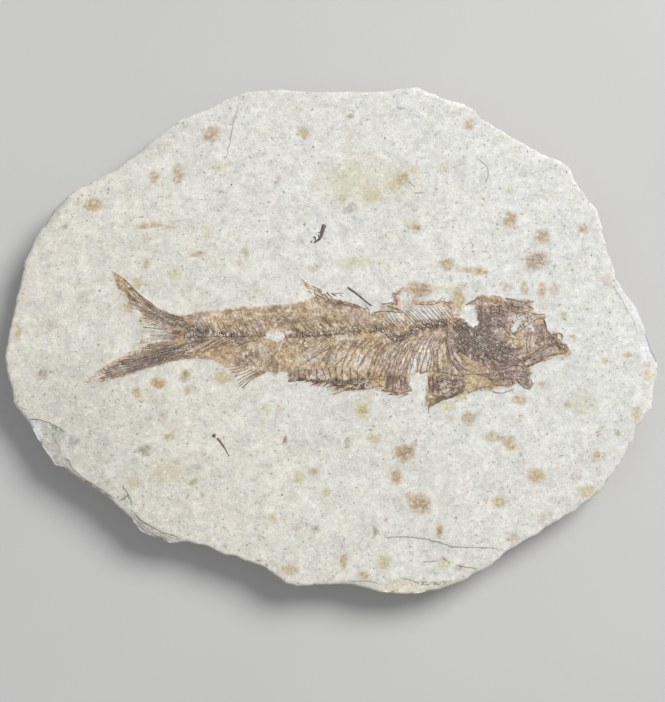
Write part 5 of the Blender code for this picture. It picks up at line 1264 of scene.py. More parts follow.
# Ribs and spines: thin curved rods of bone. Ribs hang from the backbone to the belly. Spines lean back
# over and under it. Fine bones from between the muscles lie behind the head, all alike.
RIB_RADIUS = 0.17
WOBBLE_SCALE = 420.0          # of the noise that bends the rods, to the metre
RIBS = (
    ((24.6, -0.7), (21, -2.8), (19.3, -5.5), (17.3, -9)), ((20.2, -2.5), (17.5, -6.5), (16, -9.5)),
    ((19, -3), (16.5, -7), (15.6, -13.5)), ((17.2, -4), (14.8, -7), (13.4, -10.8)),
    ((16.5, -3.4), (13.5, -6.4), (11.4, -10)), ((14, -3), (11, -6.5), (9.4, -10)),
    ((13, -1.8), (9.5, -4.5), (7.4, -8)), ((21.6, -4), (19.6, -6.5), (18.3, -9.6)),
    ((22.4, -4.3), (21.7, -7), (21.6, -9)), ((24, -4.7), (23, -7.2), (22.3, -9.5)),
    ((25.4, -4), (25.2, -6.5), (24.6, -9)), ((25.8, -4), (25.8, -9)), ((26.8, -4), (26.7, -9)),
    ((28.3, -5), (27.8, -9)), ((28.9, 0), (27, -2), (25.2, -4.5)), ((29, -0.3), (27.4, -2.8), (26.8, -5)),
    ((0.8, -2.6), (-2.4, -4.6), (-6.8, -7)), ((0.4, -3), (-1.4, -5.4), (-3, -7.9)),
    ((4.4, -4.6), (3.2, -7.4), (2.5, -10.2)), ((3.4, -5.4), (1.2, -7.5), (-0.6, -8.4)),
    ((9.8, -3.8), (8, -6.2), (6.2, -10)), ((13.2, -1.8), (11, -5), (9.2, -9.8)),
    ((14.5, -2.5), (12.6, -5.4), (10.4, -10.8)), ((16, -3.2), (14.3, -6.5), (12.2, -10.6)),
    ((17.4, -2.8), (15.8, -7), (14.6, -10.6), (14.1, -13.4)), ((18.4, -2.6), (16.8, -6.6), (15.2, -12.8)),
    ((19.4, -2.4), (17.8, -6.2), (16.5, -10.6), (16.1, -13.7)),
    ((20.6, -2.2), (19, -6), (17.9, -10.2), (17.2, -13.8)),
    ((22, -1.8), (20.2, -5.2), (18.9, -9.7), (18.4, -13.2)), ((23.4, -1), (21.4, -4.4), (19.7, -9.6)),
    ((24.6, -0.8), (22.8, -4), (21.6, -9.5)), ((25.8, -0.6), (24, -4), (22.5, -9.4)),
    ((26.8, -0.8), (25.2, -4.4), (23.9, -9)), ((27.8, -1.2), (26.4, -5), (25.8, -8.8)),
)
# Fans: foot line, tip line, number of rods, radius, sideways bow of a rod, and shake of its ends.
SPINE_FANS = (
    (((-33.6, 0.7), (-17.4, 0.8)), ((-35.6, 4.4), (-19.4, 4.2)), 9, 0.15, -0.2, 0.4),
    (((-33, -0.9), (-17.6, -0.8)), ((-37.6, -3.4), (-22.6, -3.2)), 9, 0.15, 0.25, 0.5),
    (((-8.6, 0.9), (9, 1.9)), ((-11, 3.6), (6.4, 4.6)), 10, 0.14, -0.2, 0.5),
    (((-8, -0.9), (2, -0.6)), ((-11, -3.6), (-1.6, -3.8)), 6, 0.14, 0.2, 0.5),
    (((19.8, 2.8), (31.4, 3.8)), ((15.6, 7.2), (28.2, 7.8)), 16, 0.1, 0.05, 0.35),
    (((14, 2.2), (19.4, 1.6)), ((10.8, 5.2), (16, 6.2)), 5, 0.14, -0.2, 0.5),
    (((14.4, -1.8), (28.8, 0.6)), ((9.4, -9.2), (27, -8.8)), 18, 0.11, 1.1, 0.7),
    (((3, -1.4), (13.4, -0.6)), ((-1.6, -7.4), (7.8, -9)), 7, 0.12, 0.7, 0.7),
)

rods, wires = bone_tree("bone_rods", {"Radius": 0.2, "Taper": 0.75, "Shake": 0.1, "Seed": 1})
line = curve_of(wires["Geometry"])
line = line.node("GeometryNodeCurveSplineType", {"spline_type": "CATMULL_ROM"}, {0: line})
line = points_along(line, Length=0.45 * MM)
wobble = line.node("ShaderNodeTexNoise", {"noise_dimensions": "4D"},
                   {"Scale": WOBBLE_SCALE, "W": wires["Seed"]}, 1)
line = line.node("GeometryNodeSetPosition", {}, {0: line, "Offset": push_of(wobble, wires["Shake"])})
share = line.node("GeometryNodeSplineParameter")
taper = (1.15 - wires["Taper"] * share) * wires["Radius"] * MM
close_tree(tube(line, 6, taper), bone_finish)

fans, wires = bone_tree("bone_fan", {"Rods": 8, "Radius": 0.2, "Bow": 0.0, "Shake": 0.3, "Seed": 1})
ROD_POINTS = 9                # along each rod of a fan


def rod_of(index):
    """The number of the rod that a point lies on."""
    return index.math("FLOOR", index.math("DIVIDE", index, ROD_POINTS) + 0.001)


index = wires["Rods"].node("GeometryNodeInputIndex")
own = rod_of(index)
share = (index - own * ROD_POINTS) * (1 / (ROD_POINTS - 1))
slip = chance_of(index, -0.35, 0.35, wires["Seed"], ID=own)
reach = chance_of(index, 0.72, 1.0, wires["Seed"] + 7, ID=own)
thick = chance_of(index, 0.6, 1.3, wires["Seed"] + 11, ID=own)
along = index.math("DIVIDE", own + 0.5 + slip, wires["Rods"])
which = index.node("GeometryNodeInputNamedAttribute", {"data_type": "FLOAT"}, {"Name": "line"})
above = {"data_type": "FLOAT", "operation": "GREATER_THAN"}
is_tip = index.node("FunctionNodeCompare", above, {0: which, 1: 0.5})
parted = index.node("GeometryNodeSeparateGeometry", {"domain": "POINT"},
                    {0: wires["Geometry"], "Selection": is_tip})
ends = []
for guide in (parted.other(1), parted):
    guide = curve_of(guide)
    sampled = guide.node("GeometryNodeSampleCurve", {"mode": "FACTOR", "use_all_curves": True},
                         {0: guide, "Factor": along})
    ends.append(sampled.other("Position"))
foot, tip = ends
span = tip.vector("SUBTRACT", tip, foot)
spot = span.vector("ADD", span.vector("SCALE", span, Scale=share * reach), foot)
aside = span.vector("NORMALIZE", span.vector("CROSS_PRODUCT", span, (0.0, 0.0, 1.0)))
swell = wires["Bow"] * share * (1 - share) * (4 * MM)
spot = spot.vector("ADD", spot, aside.vector("SCALE", aside, Scale=swell))
wobble = spot.node("ShaderNodeTexNoise", {}, {"Vector": spot, "Scale": WOBBLE_SCALE}, 1)
spot = spot.vector("ADD", spot, push_of(wobble, wires["Shake"]))
row = index.node("GeometryNodeMeshLine", {}, {"Count": wires["Rods"] * ROD_POINTS})
row = row.node("GeometryNodeSetPosition", {}, {0: row, "Position": spot})
edge = row.node("GeometryNodeInputMeshEdgeVertices")
apart = edge.math("ABSOLUTE", rod_of(edge) - rod_of(edge.other(1)))
cut = {"domain": "EDGE", "mode": "EDGE_FACE"}
row = row.node("GeometryNodeDeleteGeometry", cut, {0: row, "Selection": apart})
radius = (1.15 - 0.7 * share) * thick * wires["Radius"] * MM
row = row.node("GeometryNodeStoreNamedAttribute", {"data_type": "FLOAT", "domain": "POINT"},
               {0: row, "Name": "thick", "Value": radius})
thickness = row.node("GeometryNodeInputNamedAttribute", {"data_type": "FLOAT"}, {"Name": "thick"})
close_tree(tube(curve_of(row), 6, thickness), bone_finish)


def rod(points, radius, taper, shake, seed):
    return grown(rods, [points], Radius=radius, Taper=taper, Shake=shake, Seed=seed)


def fan(feet, tips, count, radius, bow, shake, seed):
    return grown(fans, [feet, tips], Rods=count, Radius=radius, Bow=bow, Shake=shake, Seed=seed)


ribs = [rod(rib, RIB_RADIUS, 0.75, 0.25, number) for number, rib in enumerate(RIBS)]
crushed_bones("ribs", ribs, dark=0.84, share=0.55, rust=(154, 118, 96))
crushed_bones("spines", [fan(*row, 20 + number) for number, row in enumerate(SPINE_FANS)],
              dark=0.82, share=0.35, rust=(130, 98, 80))

# Tail and anal fins: jointed bony rays that fan out from the tail root and the belly. They are thin,
# so each is a fine tapered rod pressed into the film.
RAY_FANS = (
    (((-37, 4.6), (-35.8, 0.7)), ((-54, 15.4), (-53, 12.4), (-50.6, 8.6)), 14, 0.14, -1.7, 0.3),
    (((-37.6, 2.6), (-36.4, 0.4)), ((-50.6, 8.4), (-48.2, 5), (-46.4, 1.6)), 10, 0.15, 0.4, 0.3),
    (((-37.6, 1.4), (-37.6, -1)), ((-46.8, 4), (-47.8, 1.6), (-46.8, -1.8)), 12, 0.11, 0.1, 0.4),
    (((-37.4, -1.4), (-37.2, -2.4)), ((-46.8, -2.4), (-49.8, -4.4)), 5, 0.13, 0.2, 0.3),
    (((-36.8, -5.2), (-36, -1.4)), ((-60, -11.8), (-56.6, -8.8), (-51, -5.4)), 17, 0.14, -0.3, 0.3),
)
crushed_bones("fin_rays", [fan(*row, 50 + number) for number, row in enumerate(RAY_FANS)],
              dark=0.86, share=0.1)
ANAL_RAYS = (
    (0.24, ((-16.2, -9.3), (-19.5, -11), (-22, -13.3))), (0.2, ((-16.8, -9.1), (-20.4, -11), (-22.8, -13))),
    (0.18, ((-17.5, -9), (-20.6, -10.7), (-23, -12.4))),
    (0.16, ((-18.5, -8.9), (-21, -10.2), (-23.4, -11.5))),
    (0.14, ((-19.5, -8.7), (-21.6, -9.7), (-23.8, -10.4))),
    (0.12, ((-20.5, -8.4), (-22.4, -9.1), (-24.6, -9.5))),
    (0.11, ((-21.6, -8), (-23.4, -8.5), (-25.4, -8.8))), (0.1, ((-22.8, -7.6), (-24.6, -8), (-26.4, -8.1))),
)
anal_rays = [rod(points, 0.85 * radius, 0.6, 0.15, number)
             for number, (radius, points) in enumerate(ANAL_RAYS)]
crushed_bones("anal_rays", anal_rays, dark=0.8, share=0.75, rust=(158, 134, 100))

# Crumbs of crushed bone: the spongy bone of the vertebrae, gill cover and skull broke into hard grains,
# dark brown or bleached, that still stand on the film.
CRUMB_FIELDS = (
    # middle, length, width, turn and number of crumbs
    (-24.5, 0, 17, 1.9, 0, 150), (-6, 0.1, 10, 2, 2, 90), (3.5, 0.9, 11, 2, 5, 110),
    (11.6, 1.6, 5, 1.8, 8, 60), (15.2, -0.5, 4.8, 2, -38, 70), (19, 0, 4.6, 2.2, 40, 70),
    (25.6, 2.6, 11, 2.4, 5, 190), (34.4, -1, 8, 8.6, 0, 230), (40.6, -3.4, 11, 8, -10, 280),
    (40.8, 5, 7.6, 5.6, 0, 130), (32, 2.6, 4.6, 3.4, 0, 70), (46.6, 6.8, 8, 2.4, -10, 50),
    (29.6, -12.6, 8, 4.6, 0, 90), (45, -10.4, 9, 3, 0, 60), (57, -2, 5, 2, -35, 50),
    (47.6, 3.2, 6, 5, 0, 60), (51.6, 0, 5, 6, 0, 16), (4, -12.2, 14, 2, -4, 70), (-8.4, -10.4, 5, 2, 0, 30),
    (-36.6, 1.8, 8, 2.6, -24, 90), (-37.4, -3.8, 8, 1.6, 14, 50),
)
CRUMB_SIZE = 0.2
BLEACHED_CHIPS = (
    (-30.6, -0.2), (-30.2, -0.4), (-27.9, -0.3), (-27.5, 0), (-27.2, -0.3), (-27.6, -0.5), (-25.9, 0.1),
    (-25.5, 0.2), (-25.7, -0.2), (-31.6, 0.1), (-11.4, 1.3), (-12.2, 1.4), (-10, 0.8), (-2, 0.9),
    (-0.8, 1.2), (0.6, 1.6), (1.2, 1.3), (-1, -1.1), (0.2, -1.3), (2.6, 0.4), (3.4, 2.2), (5.9, 1.8),
    (6.4, 1.2), (9.2, 1.6), (12.4, 0.4), (13, 1), (14, -0.8), (15.4, -1.6), (17, 0), (20.4, 1.6),
    (21.6, 1.4), (23.4, 2), (26.6, 2.9), (27.4, 2.4), (28.6, 3.4), (24.8, 3.2), (41.4, -1.7), (41.9, -1.8),
    (48.9, -7.2), (49.5, -6.9), (-35, -3), (-38.6, -3.9), (43.4, 6.4), (46, 7.4), (48.2, 7.9), (50.4, 5.8),
    (38.9, 7.9), (53, 4.8), (45.3, 3.9), (47.6, 2.6),
)
crumb_tree, wires = bone_tree("bone_crumbs", {"Size": 0.2, "Seed": 1})
lump = wires["Geometry"].node("GeometryNodeMeshIcoSphere", {}, {"Radius": 1.0, "Subdivisions": 1})
turned = chance_of(lump, (0.0, 0.0, 0.0), (6.3, 6.3, 6.3), wires["Seed"])
sizes = chance_of(lump, (0.5, 0.5, 0.5), (1.5, 1.5, 1.5), wires["Seed"] + 3)
sizes = sizes.vector("SCALE", sizes, Scale=wires["Size"] * MM)
placed = {0: wires["Geometry"], "Instance": lump, "Rotation": turned, "Scale": sizes}
close_tree(lump.node("GeometryNodeInstanceOnPoints", {}, placed), bone_finish)
chance = np.random.RandomState(17)
spots = []
for middle_x, middle_y, length, width, turn, count in CRUMB_FIELDS:
    along = np.clip(chance.normal(0, 0.27, count), -0.6, 0.6) * length
    across = np.clip(chance.normal(0, 0.25, count), -0.6, 0.6) * width
    c, s = math.cos(math.radians(turn)), math.sin(math.radians(turn))
    spots += list(zip(middle_x + along * c - across * s, middle_y + along * s + across * c))
kept = film_cover(*np.array(spots).T) > 0.3
spots = [[spot] for spot, stays in zip(spots, kept) if stays]
chips = [[spot] for spot in BLEACHED_CHIPS]
places, faces = grown(crumb_tree, spots + chips, Size=CRUMB_SIZE, Seed=5)
x, y, high = places.T
each = len(places) // len(spots + chips)
middle = places.reshape(-1, each, 3).mean(1)
lift = np.zeros(len(middle))
for run in BACKBONE_RUNS:
    gap = nearest(middle[:, 0], middle[:, 1], run)[0]
    lift = np.maximum(lift, 0.26 * (1 - ramp(gap, 0.2, 0.75)))
places[:, 2] = film_height(x, y) + 0.05 + 0.55 * high + np.repeat(lift, each)
crumb_piece = new_object("bone_crumbs", places, faces, bone_finish)
shade = film_color(middle[:, 0], middle[:, 1]) * 0.5 + 0.65 * linear(FILM_COLORS["umber"])
bleached = (chance.rand(len(shade)) > 0.84)[:, None]
shade = np.where(bleached, linear((208, 196, 182)), shade)
shade[-len(chips):] = linear((238, 232, 222))
store(crumb_piece.data, tint=np.repeat(shade, each, 0))
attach(crumb_piece, "root")
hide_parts("fossil_fish")

# Head, shoulder and back: the long bones that still stand up as rods. They are jaws, the shoulder
# girdle, gill rays and ridges of the skull, fused to the film and crushed with it.
HEAD_RODS = (
    # radius, taper and the points of one or more bones: shoulder girdle
    (0.36, 0.3, ((29.8, 2.9), (29.3, -2), (30, -5.6), (31.6, -8.4), (33.9, -10.8))),
    (0.2, 0.6, ((29, 1.6), (28.8, -1.6), (29.2, -5), (30.4, -8))),
    (0.16, 0.5, ((30.3, -3), (31, -5.4), (33, -8.2), (35.6, -9.5))),
    (0.14, 0.5, ((33.4, -10), (36.4, -9.8), (39.4, -9.8), (41.8, -9.2))),
    (0.15, 0.6, ((36.6, -9.9), (39.2, -10.7), (40.8, -12.2))),
    # breast fin
    (0.2, 0.4, ((22.3, -9.7), (24.5, -9.1), (27.5, -9.3), (30, -9.9), (33.2, -10.6))),
    (0.15, 0.6, ((24.3, -10.2), (24.7, -12.4), (24.6, -14.6)), ((25.4, -10.2), (25.6, -12.6),
     (25.5, -14.9))),
    (0.14, 0.6, ((26.5, -10.4), (26.8, -12.6), (26.7, -15))),
    (0.2, 0.5, ((33.4, -12.6), (31.4, -14.6), (28.6, -15.6), (25.2, -15.2))),
    (0.22, 0.5, ((33.2, -14), (30.6, -15.4), (27.2, -16.6), (25.2, -17.8))),
    (0.18, 0.5, ((32.8, -11.4), (30.4, -11.6), (27.6, -11))),
    (0.15, 0.6, ((24.9, -17), (24.4, -18.6), (24.5, -19.6))),
    (0.15, 0.5, ((33.6, -13.2), (31, -13.6), (28.4, -14.8))),
    (0.13, 0.6, ((28.6, -11.8), (30.8, -12.6), (32.4, -12.2))),
    # gill cover and cheek
    (0.2, 0.5, ((40.6, -5.4), (41.8, -6.6), (43.4, -6.9), (45.6, -6.3))),
    (0.17, 0.5, ((41, -8.9), (43.6, -8.5), (46, -7.6), (47.9, -7.9))),
    (0.15, 0.5, ((42, -2.2), (43.6, -3.2), (45.8, -3.6), (47.8, -3.4)), ((38.4, -4.6), (40.4, -6.8),
     (40.8, -8.4))),
    (0.14, 0.5, ((37, -5.2), (38.4, -7.4), (39.6, -8.8))),
    (0.15, 0.5, ((43, -4.6), (45.4, -5.2), (47.6, -6.6), (49, -8.2))),
    (0.14, 0.5, ((44.4, -5.8), (46.2, -5.3), (47.6, -4.6))),
    (0.16, 0.5, ((39.6, -0.4), (41, -1), (42.4, -2.2))),
    (0.14, 0.6, ((49.4, 0.8), (49, -1.6), (49.2, -4.6), (48.6, -6)), ((50.4, 0.6), (49.8, -1.8),
     (49.9, -4.4))),
    (0.16, 0.6, ((53, 1.6), (52, -0.4), (51.2, -2.2))),
    (0.14, 0.6, ((53.5, -0.6), (52.6, -1.6), (51, -2.3))),
    # skull roof and eye socket
    (0.14, 0.6, ((34, 7.6), (35.4, 8.4), (37.4, 9.3), (39.4, 9.7))),
    (0.15, 0.6, ((48.8, 8), (50.2, 8.2), (51.4, 8.7))),
    (0.16, 0.5, ((44, 9.2), (46.4, 8.8), (48.6, 7.8), (50.9, 6.6))),
    (0.15, 0.5, ((45.4, 6), (47.2, 5.7), (49.4, 5.9), (51, 5.3), (53.8, 5.3))),
    (0.16, 0.5, ((45.8, 7.4), (47.2, 7.2), (48.4, 7))),
    (0.14, 0.5, ((43.6, 8.4), (45, 7.2), (46.2, 5.6), (46.8, 5))),
    (0.16, 0.4, ((46.2, 0.2), (47.6, 1.2), (49.2, 2.4), (50.8, 3.6), (52.4, 4.4))),
    (0.15, 0.4, ((47, 1.6), (48.2, 2.8), (49.6, 4.2), (50.6, 4.9))),
    (0.16, 0.5, ((45.2, 2.6), (45, 1.4), (45.8, 0.2), (46.6, -0.4))),
    (0.12, 0.6, ((46.6, 5), (46.9, 3.8)), ((47.9, 4.2), (48.6, 3.2)), ((47.6, 2.2), (48.8, 1.2))),
    (0.13, 0.6, ((49.8, 5.2), (49.2, 4.4), (49.6, 3.4))),
    (0.18, 0.5, ((41.6, 2.6), (43, 2.2), (44, 1.2), (45, -0.2))),
    (0.15, 0.5, ((40.2, 7.6), (41.8, 7.2), (43.4, 7.6), (44.8, 6.6))),
    # snout and jaws
    (0.22, 0.5, ((53.5, 3.8), (53.9, 2.6), (54.1, 1.2), (54.9, 0.4))),
    (0.24, 0.5, ((54.6, 0.6), (55.8, -0.8), (57.2, -2), (58.8, -2.8), (59.4, -3.6))),
    (0.17, 0.3, ((56.3, 0), (56.9, 0.45), (57.7, 0.35), (58.1, -0.4), (57.8, -1.1), (57, -1.2))),
    (0.2, 0.4, ((55.2, -1.6), (56.4, -2.6), (58, -3.4), (59, -4.1))),
    (0.3, 0.4, ((48.2, -6.5), (50, -5.5), (52.2, -4.3), (54, -3.2), (55.6, -2.6))),
    (0.15, 0.5, ((48, -5.9), (50.4, -4.8), (52.4, -3.4), (53.8, -2.4))),
    (0.28, 0.4, ((49.3, -7.8), (51.2, -6.9), (53.6, -5.7), (55.8, -5), (58.8, -4.5))),
    (0.12, 0.6, ((50.4, -7.6), (53, -6.5), (55.6, -5.9))),
    (0.14, 0.5, ((50.6, -6.4), (53.2, -5.2), (55.4, -4.2))),
    # throat
    (0.18, 0.5, ((41.2, -10.2), (44, -9.4), (46.6, -9), (49.4, -9.6), (50.2, -9.8))),
    (0.15, 0.5, ((41.4, -11.4), (44.4, -11), (46.6, -11.4), (47.6, -12.6))),
    (0.16, 0.4, ((46.6, -11.8), (48.2, -13.1), (49.4, -13.5), (50.3, -12.5), (49.9, -11.2))),
    (0.14, 0.5, ((40.8, -12.6), (43.6, -12.6), (46.4, -12.2))),
    (0.14, 0.6, ((34.2, -14.7), (36.6, -13.6), (39.8, -12.9))),
    (0.11, 0.6, ((40.6, -14.4), (42.8, -14.6), (44.8, -14), (45.8, -13.4))),
    (0.14, 0.5, ((46.8, -10.4), (48.4, -10.6), (49.6, -11.6))),
    # back ridge and forked bones
    (0.15, 0.6, ((0.4, 9), (3.4, 8.4), (6.2, 7.6), (8.9, 6.4))),
    (0.12, 0.6, ((1.6, 8.2), (4.4, 7.5), (7.4, 6.8))), (0.13, 0.5, ((8.6, 7.6), (9.4, 6.8))),
    (0.12, 0.5, ((8.4, 6.8), (9.6, 6.6), (9.7, 5), (9.6, 4.2))),
    (0.17, 0.5, ((12.8, 8), (14, 7.9), (15.4, 8.2), (16.5, 7.7))),
    (0.15, 0.4, ((16.5, 7.7), (16.6, 8.8), (15.7, 9.8), (15.4, 10.4))),
    (0.15, 0.5, ((15.6, 10.6), (16.8, 10.4), (17.6, 11.4), (18.4, 12.1))),
    (0.13, 0.5, ((14, 7.4), (16.4, 6.7), (18.2, 5.9))),
    (0.17, 0.5, ((11, 5.7), (13, 6), (15.6, 5.9), (18.6, 5.5))),
    (0.13, 0.5, ((21.3, 7.9), (23.6, 7.7), (26.2, 7.8), (28, 8.6), (29.9, 8))),
    (0.12, 0.5, ((26.4, 8), (27.8, 9.2), (28.4, 9.8))),
    # edge of the belly and its fan of scutes
    (0.24, 0.4, ((-10.4, -11.6), (-7.4, -11.3), (-4.2, -11.5), (-1.2, -11.6))),
    (0.3, 0.5, ((1, -12.6), (4, -12.5), (6.6, -12.2), (9, -11), (9.9, -9.4))),
    (0.22, 0.5, ((4.4, -13.4), (7.4, -13.7), (10.8, -13.3))),
    (0.14, 0.6, ((0.8, -14.9), (2.6, -14.3), (5, -13.8))),
    (0.17, 0.5, ((12.7, -14), (15.5, -14.3), (17.6, -14.6), (20.2, -14)), ((14.6, -15), (17.2, -14.8),
     (19.2, -14.8))),
    (0.2, 0.9, ((19.4, -14.8), (18.2, -15.3), (16.7, -15.9))),
    (0.15, 0.6, ((15, -9.6), (14.2, -11.6), (13.6, -13.6)), ((16.2, -9), (15.9, -11.6), (15.4, -14.2)),
     ((17.2, -10.2), (17.5, -12.2), (17.7, -14.4)), ((18.2, -10.4), (19.1, -12.4), (20.3, -14))),
    (0.12, 0.6, ((10.2, -11.2), (12, -11.1), (13.4, -11.4)), ((10.4, -13.1), (12.4, -12.9),
     (13.8, -13.2))),
    (0.13, 0.6, ((-6.3, -0.8), (-6.7, -3), (-3.8, -3.2))),
    (0.2, 0.5, ((-10.6, -0.4), (-8.6, -0.2), (-6.6, 0.4))),
)
# Scutes along the belly, each from its foot back to its point, and the uprights over them.
SCUTES = (
    ((-6.6, -11.1), (-8.2, -11.3), (-9.6, -11.7)), ((-4.4, -11.2), (-5.6, -11.6), (-6.6, -12)),
    ((-2.8, -11.7), (-3.9, -12.2), (-5, -12.8)), ((-0.6, -11.8), (-1.2, -12.5), (-2.2, -13.1)),
    ((1.2, -12.2), (0, -12.9), (-1.2, -13.3)), ((3.4, -12.9), (2, -13.3), (0.6, -13.6)),
    ((5.8, -13.2), (4.4, -13.6), (3, -13.8)), ((8.4, -13.2), (7, -13.6), (5.6, -13.9)),
)
UPRIGHTS = (
    ((-8, -8.8), (-7.9, -11)), ((-6.4, -8.6), (-6.2, -11)), ((-5.4, -8.6), (-5.3, -11)),
    ((-3.5, -8.6), (-3.3, -11.2)), ((-2.1, -8.4), (-1, -11.4)), ((-0.4, -8.4), (0.2, -11.2)),
    ((1.3, -8.2), (1.5, -11.4)), ((2.9, -8.6), (3, -11.6)), ((4.9, -8.2), (5.1, -11.6)),
    ((6.6, -9), (6.9, -11.6)),
)

long_bones = [(points, 0.8 * radius, taper) for radius, taper, *lines in HEAD_RODS for points in lines]
head_rods = [rod(*long_bone, 0.3, number) for number, long_bone in enumerate(long_bones)]
crushed_bones("head_bones", head_rods, dark=0.8, share=0.35)
keel = [rod(points, 0.26, 1.05, 0.15, number) for number, points in enumerate(SCUTES)]
keel += [rod(points, 0.14, 0.7, 0.2, 30 + number) for number, points in enumerate(UPRIGHTS)]
crushed_bones("belly_scutes", keel, dark=0.6, share=0.4)

# Back fin: a torn wisp of ochre film behind the highest point of the back, and a comb of ray stumps.
DORSAL_OUTLINE = (
    (-7.4, 14.3), (-6.4, 13.3), (-5.4, 13), (-4.2, 12.3), (-2.5, 11.7), (-2.4, 11.1), (-2.7, 10.3),
    (-3.6, 10.3), (-4, 11.1), (-4.8, 11.2), (-6.3, 11.4), (-7, 12.5),
)
DORSAL_RODS = (
    (0.1, ((-7.2, 14.2), (-6.5, 13.4), (-5.7, 12.9))), (0.12, ((-4.6, 12.3), (-3.4, 11.9), (-2.5, 11.6))),
    (0.11, ((-5.6, 11.3), (-4.7, 10.5))), (0.15, ((-3.8, 9.7), (-2.6, 9))), (0.17, ((-4.1, 11.6),
     (-3.9, 10.5), (-3.5, 10.1), (-2.7, 9.8), (-1.3, 9.1))),
    (0.16, ((-2.9, 11.2), (-2.6, 10.7), (-2.2, 10.1))),
    (0.16, ((-2, 10.2), (-1.5, 10.3), (-1, 9.8), (-0.5, 9.1))),
    (0.17, ((-1, 10.8), (-0.3, 10.1), (0.5, 9.5))), (0.18, ((0.3, 10.6), (0.8, 10.2), (1.5, 9.8))),
    (0.11, ((0.9, 10.5), (2.4, 10.6), (3.3, 10.6))), (0.1, ((2.4, 10.2), (3.2, 9.8))),
)
lay_film("dorsal_film", DORSAL_OUTLINE, 0.15, "dorsal_fin")
comb = [rod(points, radius, 0.7, 0.15, number) for number, (radius, points) in enumerate(DORSAL_RODS)]
crushed_bones("dorsal_rays", comb, dark=0.62, share=0.4, node="dorsal_fin")

# Loose bones beside the fish: a straight spine over its back, a red-brown rib at the lower left and a dark
# grey sliver above it. Each lies half sunk in the face, bonded to the stone.
sliver_finish, shader, place = new_material("sliver_finish")
ash = lumps(place, 0.5, 3, 0.7)
grain = lumps(place, 0.18, 2, 0.6)
color = blended((84, 80, 86), (132, 126, 128), step(ash, 0.35, 0.7))
color = blended(color, (150, 146, 138), 0.5 * step(grain, 0.6, 0.72))
feed(shader, color, 0.4 + 0.3 * ash, bump(ash + 0.5 * grain, 0.4, 0.1))

LOOSE_BONES = (
    # piece, node, slot, finish, colour, and strands with their radius, taper and points
    ("back_spine", "fin_spine", "fossil_bone", bone_finish, (128, 112, 102),
     ((0.24, 0.4, ((4.3, 12.1), (6, 10.9), (7.6, 9.6), (9, 8.4), (10.3, 7.4))),)),
    ("red_rib", "stray_rib", "fossil_bone", bone_finish, (152, 122, 106),
     ((0.27, 0.8, ((-28.1, -25.9), (-27.4, -26.8), (-26.5, -28), (-25.8, -29.2), (-25.2, -30.5))),)),
    ("gray_sliver", "stray_sliver", "dark_sliver", sliver_finish, (62, 64, 68),
     ((0.5, 0.5, ((-1.6, 28.1), (-1.9, 27.2), (-2.2, 26.2), (-2.4, 25.2), (-3, 24.3))),
      (0.26, 0.4, ((-2.9, 24.5), (-3.5, 23.9), (-4.2, 23.5))), (0.17, 0.4, ((-2.5, 26.3), (-3.1, 26.1))),
      (0.18, 0.3, ((-3.1, 25.6), (-3, 25))), (0.2, 0.3, ((-4.3, 25), (-3.8, 24.9), (-3.9, 24.1))),
      (0.2, 0.3, ((-4.8, 24), (-4.9, 23.6))))),
)
for number, (name, node, slot, finish, color, strands) in enumerate(LOOSE_BONES):
    grown_strands = [rod(points, radius, taper, 0.25, 60 + number) for radius, taper, points in strands]
    places, faces = joined(grown_strands)
    x, y, high = places.T
    places[:, 2] = face_height(x, y) + 0.02 + 0.7 * high
    piece = new_object(name, places, faces, finish)
    shades = 0.85 + 0.3 * noise(x, y, 0.8, 99)[:, None]
    store(piece.data, tint=linear(color) * shades)
    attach(piece, "root")
    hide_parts(node)


# ------------------------------------------------------------------------------
# The stage: a plain pale table top, one broad soft lamp high on the right and a weak fill, and the
# camera that looks almost straight down on the fossil face.
# ------------------------------------------------------------------------------
TABLE_SIZE = 9000.0
TABLE_DROP = 0.05
CAMERA_ELEVATION = 82.0
CAMERA_DISTANCE = 450.0
CAMERA_AIM = (0.47, -4.05, 10.0)
CAMERA_LENS = 92.31           # millimetres, on a 36 mm sensor

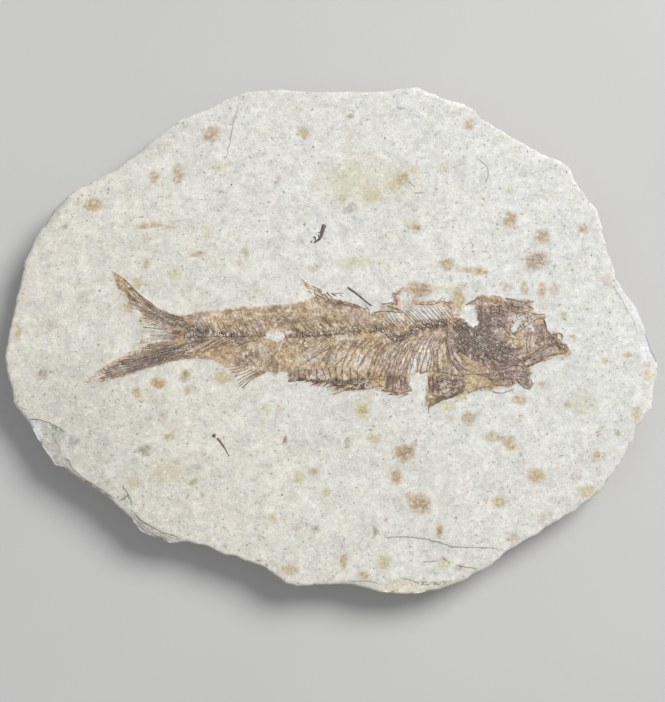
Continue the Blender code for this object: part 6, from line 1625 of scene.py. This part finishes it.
table_finish, shader, place = new_material("table_finish")
paper = 0.93 + 0.14 * lumps(place, 120, 3)
feed(shader, shaded((205, 205, 204), paper), 0.7 + 0.1 * lumps(place, 3))
half = TABLE_SIZE / 2
corners = ((-half, -half), (half, -half), (half, half), (-half, half))
table_corners = [(*corner, -TABLE_DROP) for corner in corners]
table = new_object("table_top", table_corners, [(0, 1, 2, 3)], table_finish, False)
table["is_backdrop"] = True


def area_light(name, place, aim, size, power, color):
    light = bpy.data.lights.new(name, "AREA")
    light.shape = "DISK"
    light.size = size * MM
    light.energy = power
    light.color = color
    lamp = bpy.data.objects.new(name, light)
    lamp.location = Vector(place) * MM
    lamp.rotation_euler = (Vector(aim) - Vector(place)).to_track_quat("-Z", "Y").to_euler()
    bpy.context.scene.collection.objects.link(lamp)


area_light("key_lamp", (750.0, 600.0, 1000.0), (0.0, 0.0, 0.0), 750.0, 17.2, (1.0, 0.99, 0.97))
area_light("fill_lamp", (-1050.0, -500.0, 1500.0), (0.0, 0.0, 0.0), 1500.0, 3.1, (0.97, 0.98, 1.0))
world = bpy.data.worlds.new("studio")
world.use_nodes = True
world.node_tree.nodes["Background"].inputs["Color"].default_value = (0.95, 0.97, 1.0, 1.0)
world.node_tree.nodes["Background"].inputs["Strength"].default_value = 0.3
bpy.context.scene.world = world
bpy.context.scene.view_settings.view_transform = "Standard"

tilt = math.radians(CAMERA_ELEVATION)
aim = Vector(CAMERA_AIM)
camera_data = bpy.data.cameras.new("camera")
camera_data.lens = CAMERA_LENS
camera_data.sensor_width = 36.0
camera_data.clip_start = 0.01
camera = bpy.data.objects.new("camera", camera_data)
camera_place = aim + CAMERA_DISTANCE * Vector((0.0, -math.cos(tilt), math.sin(tilt)))
camera.location = camera_place * MM
camera.rotation_euler = (aim - camera_place).to_track_quat("-Z", "Y").to_euler()
bpy.context.scene.collection.objects.link(camera)
bpy.context.scene.camera = camera

visual_low, visual_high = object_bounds()
sizes = {"cad": [list(cad_low), list(cad_high)], "visual": [list(visual_low), list(visual_high)]}
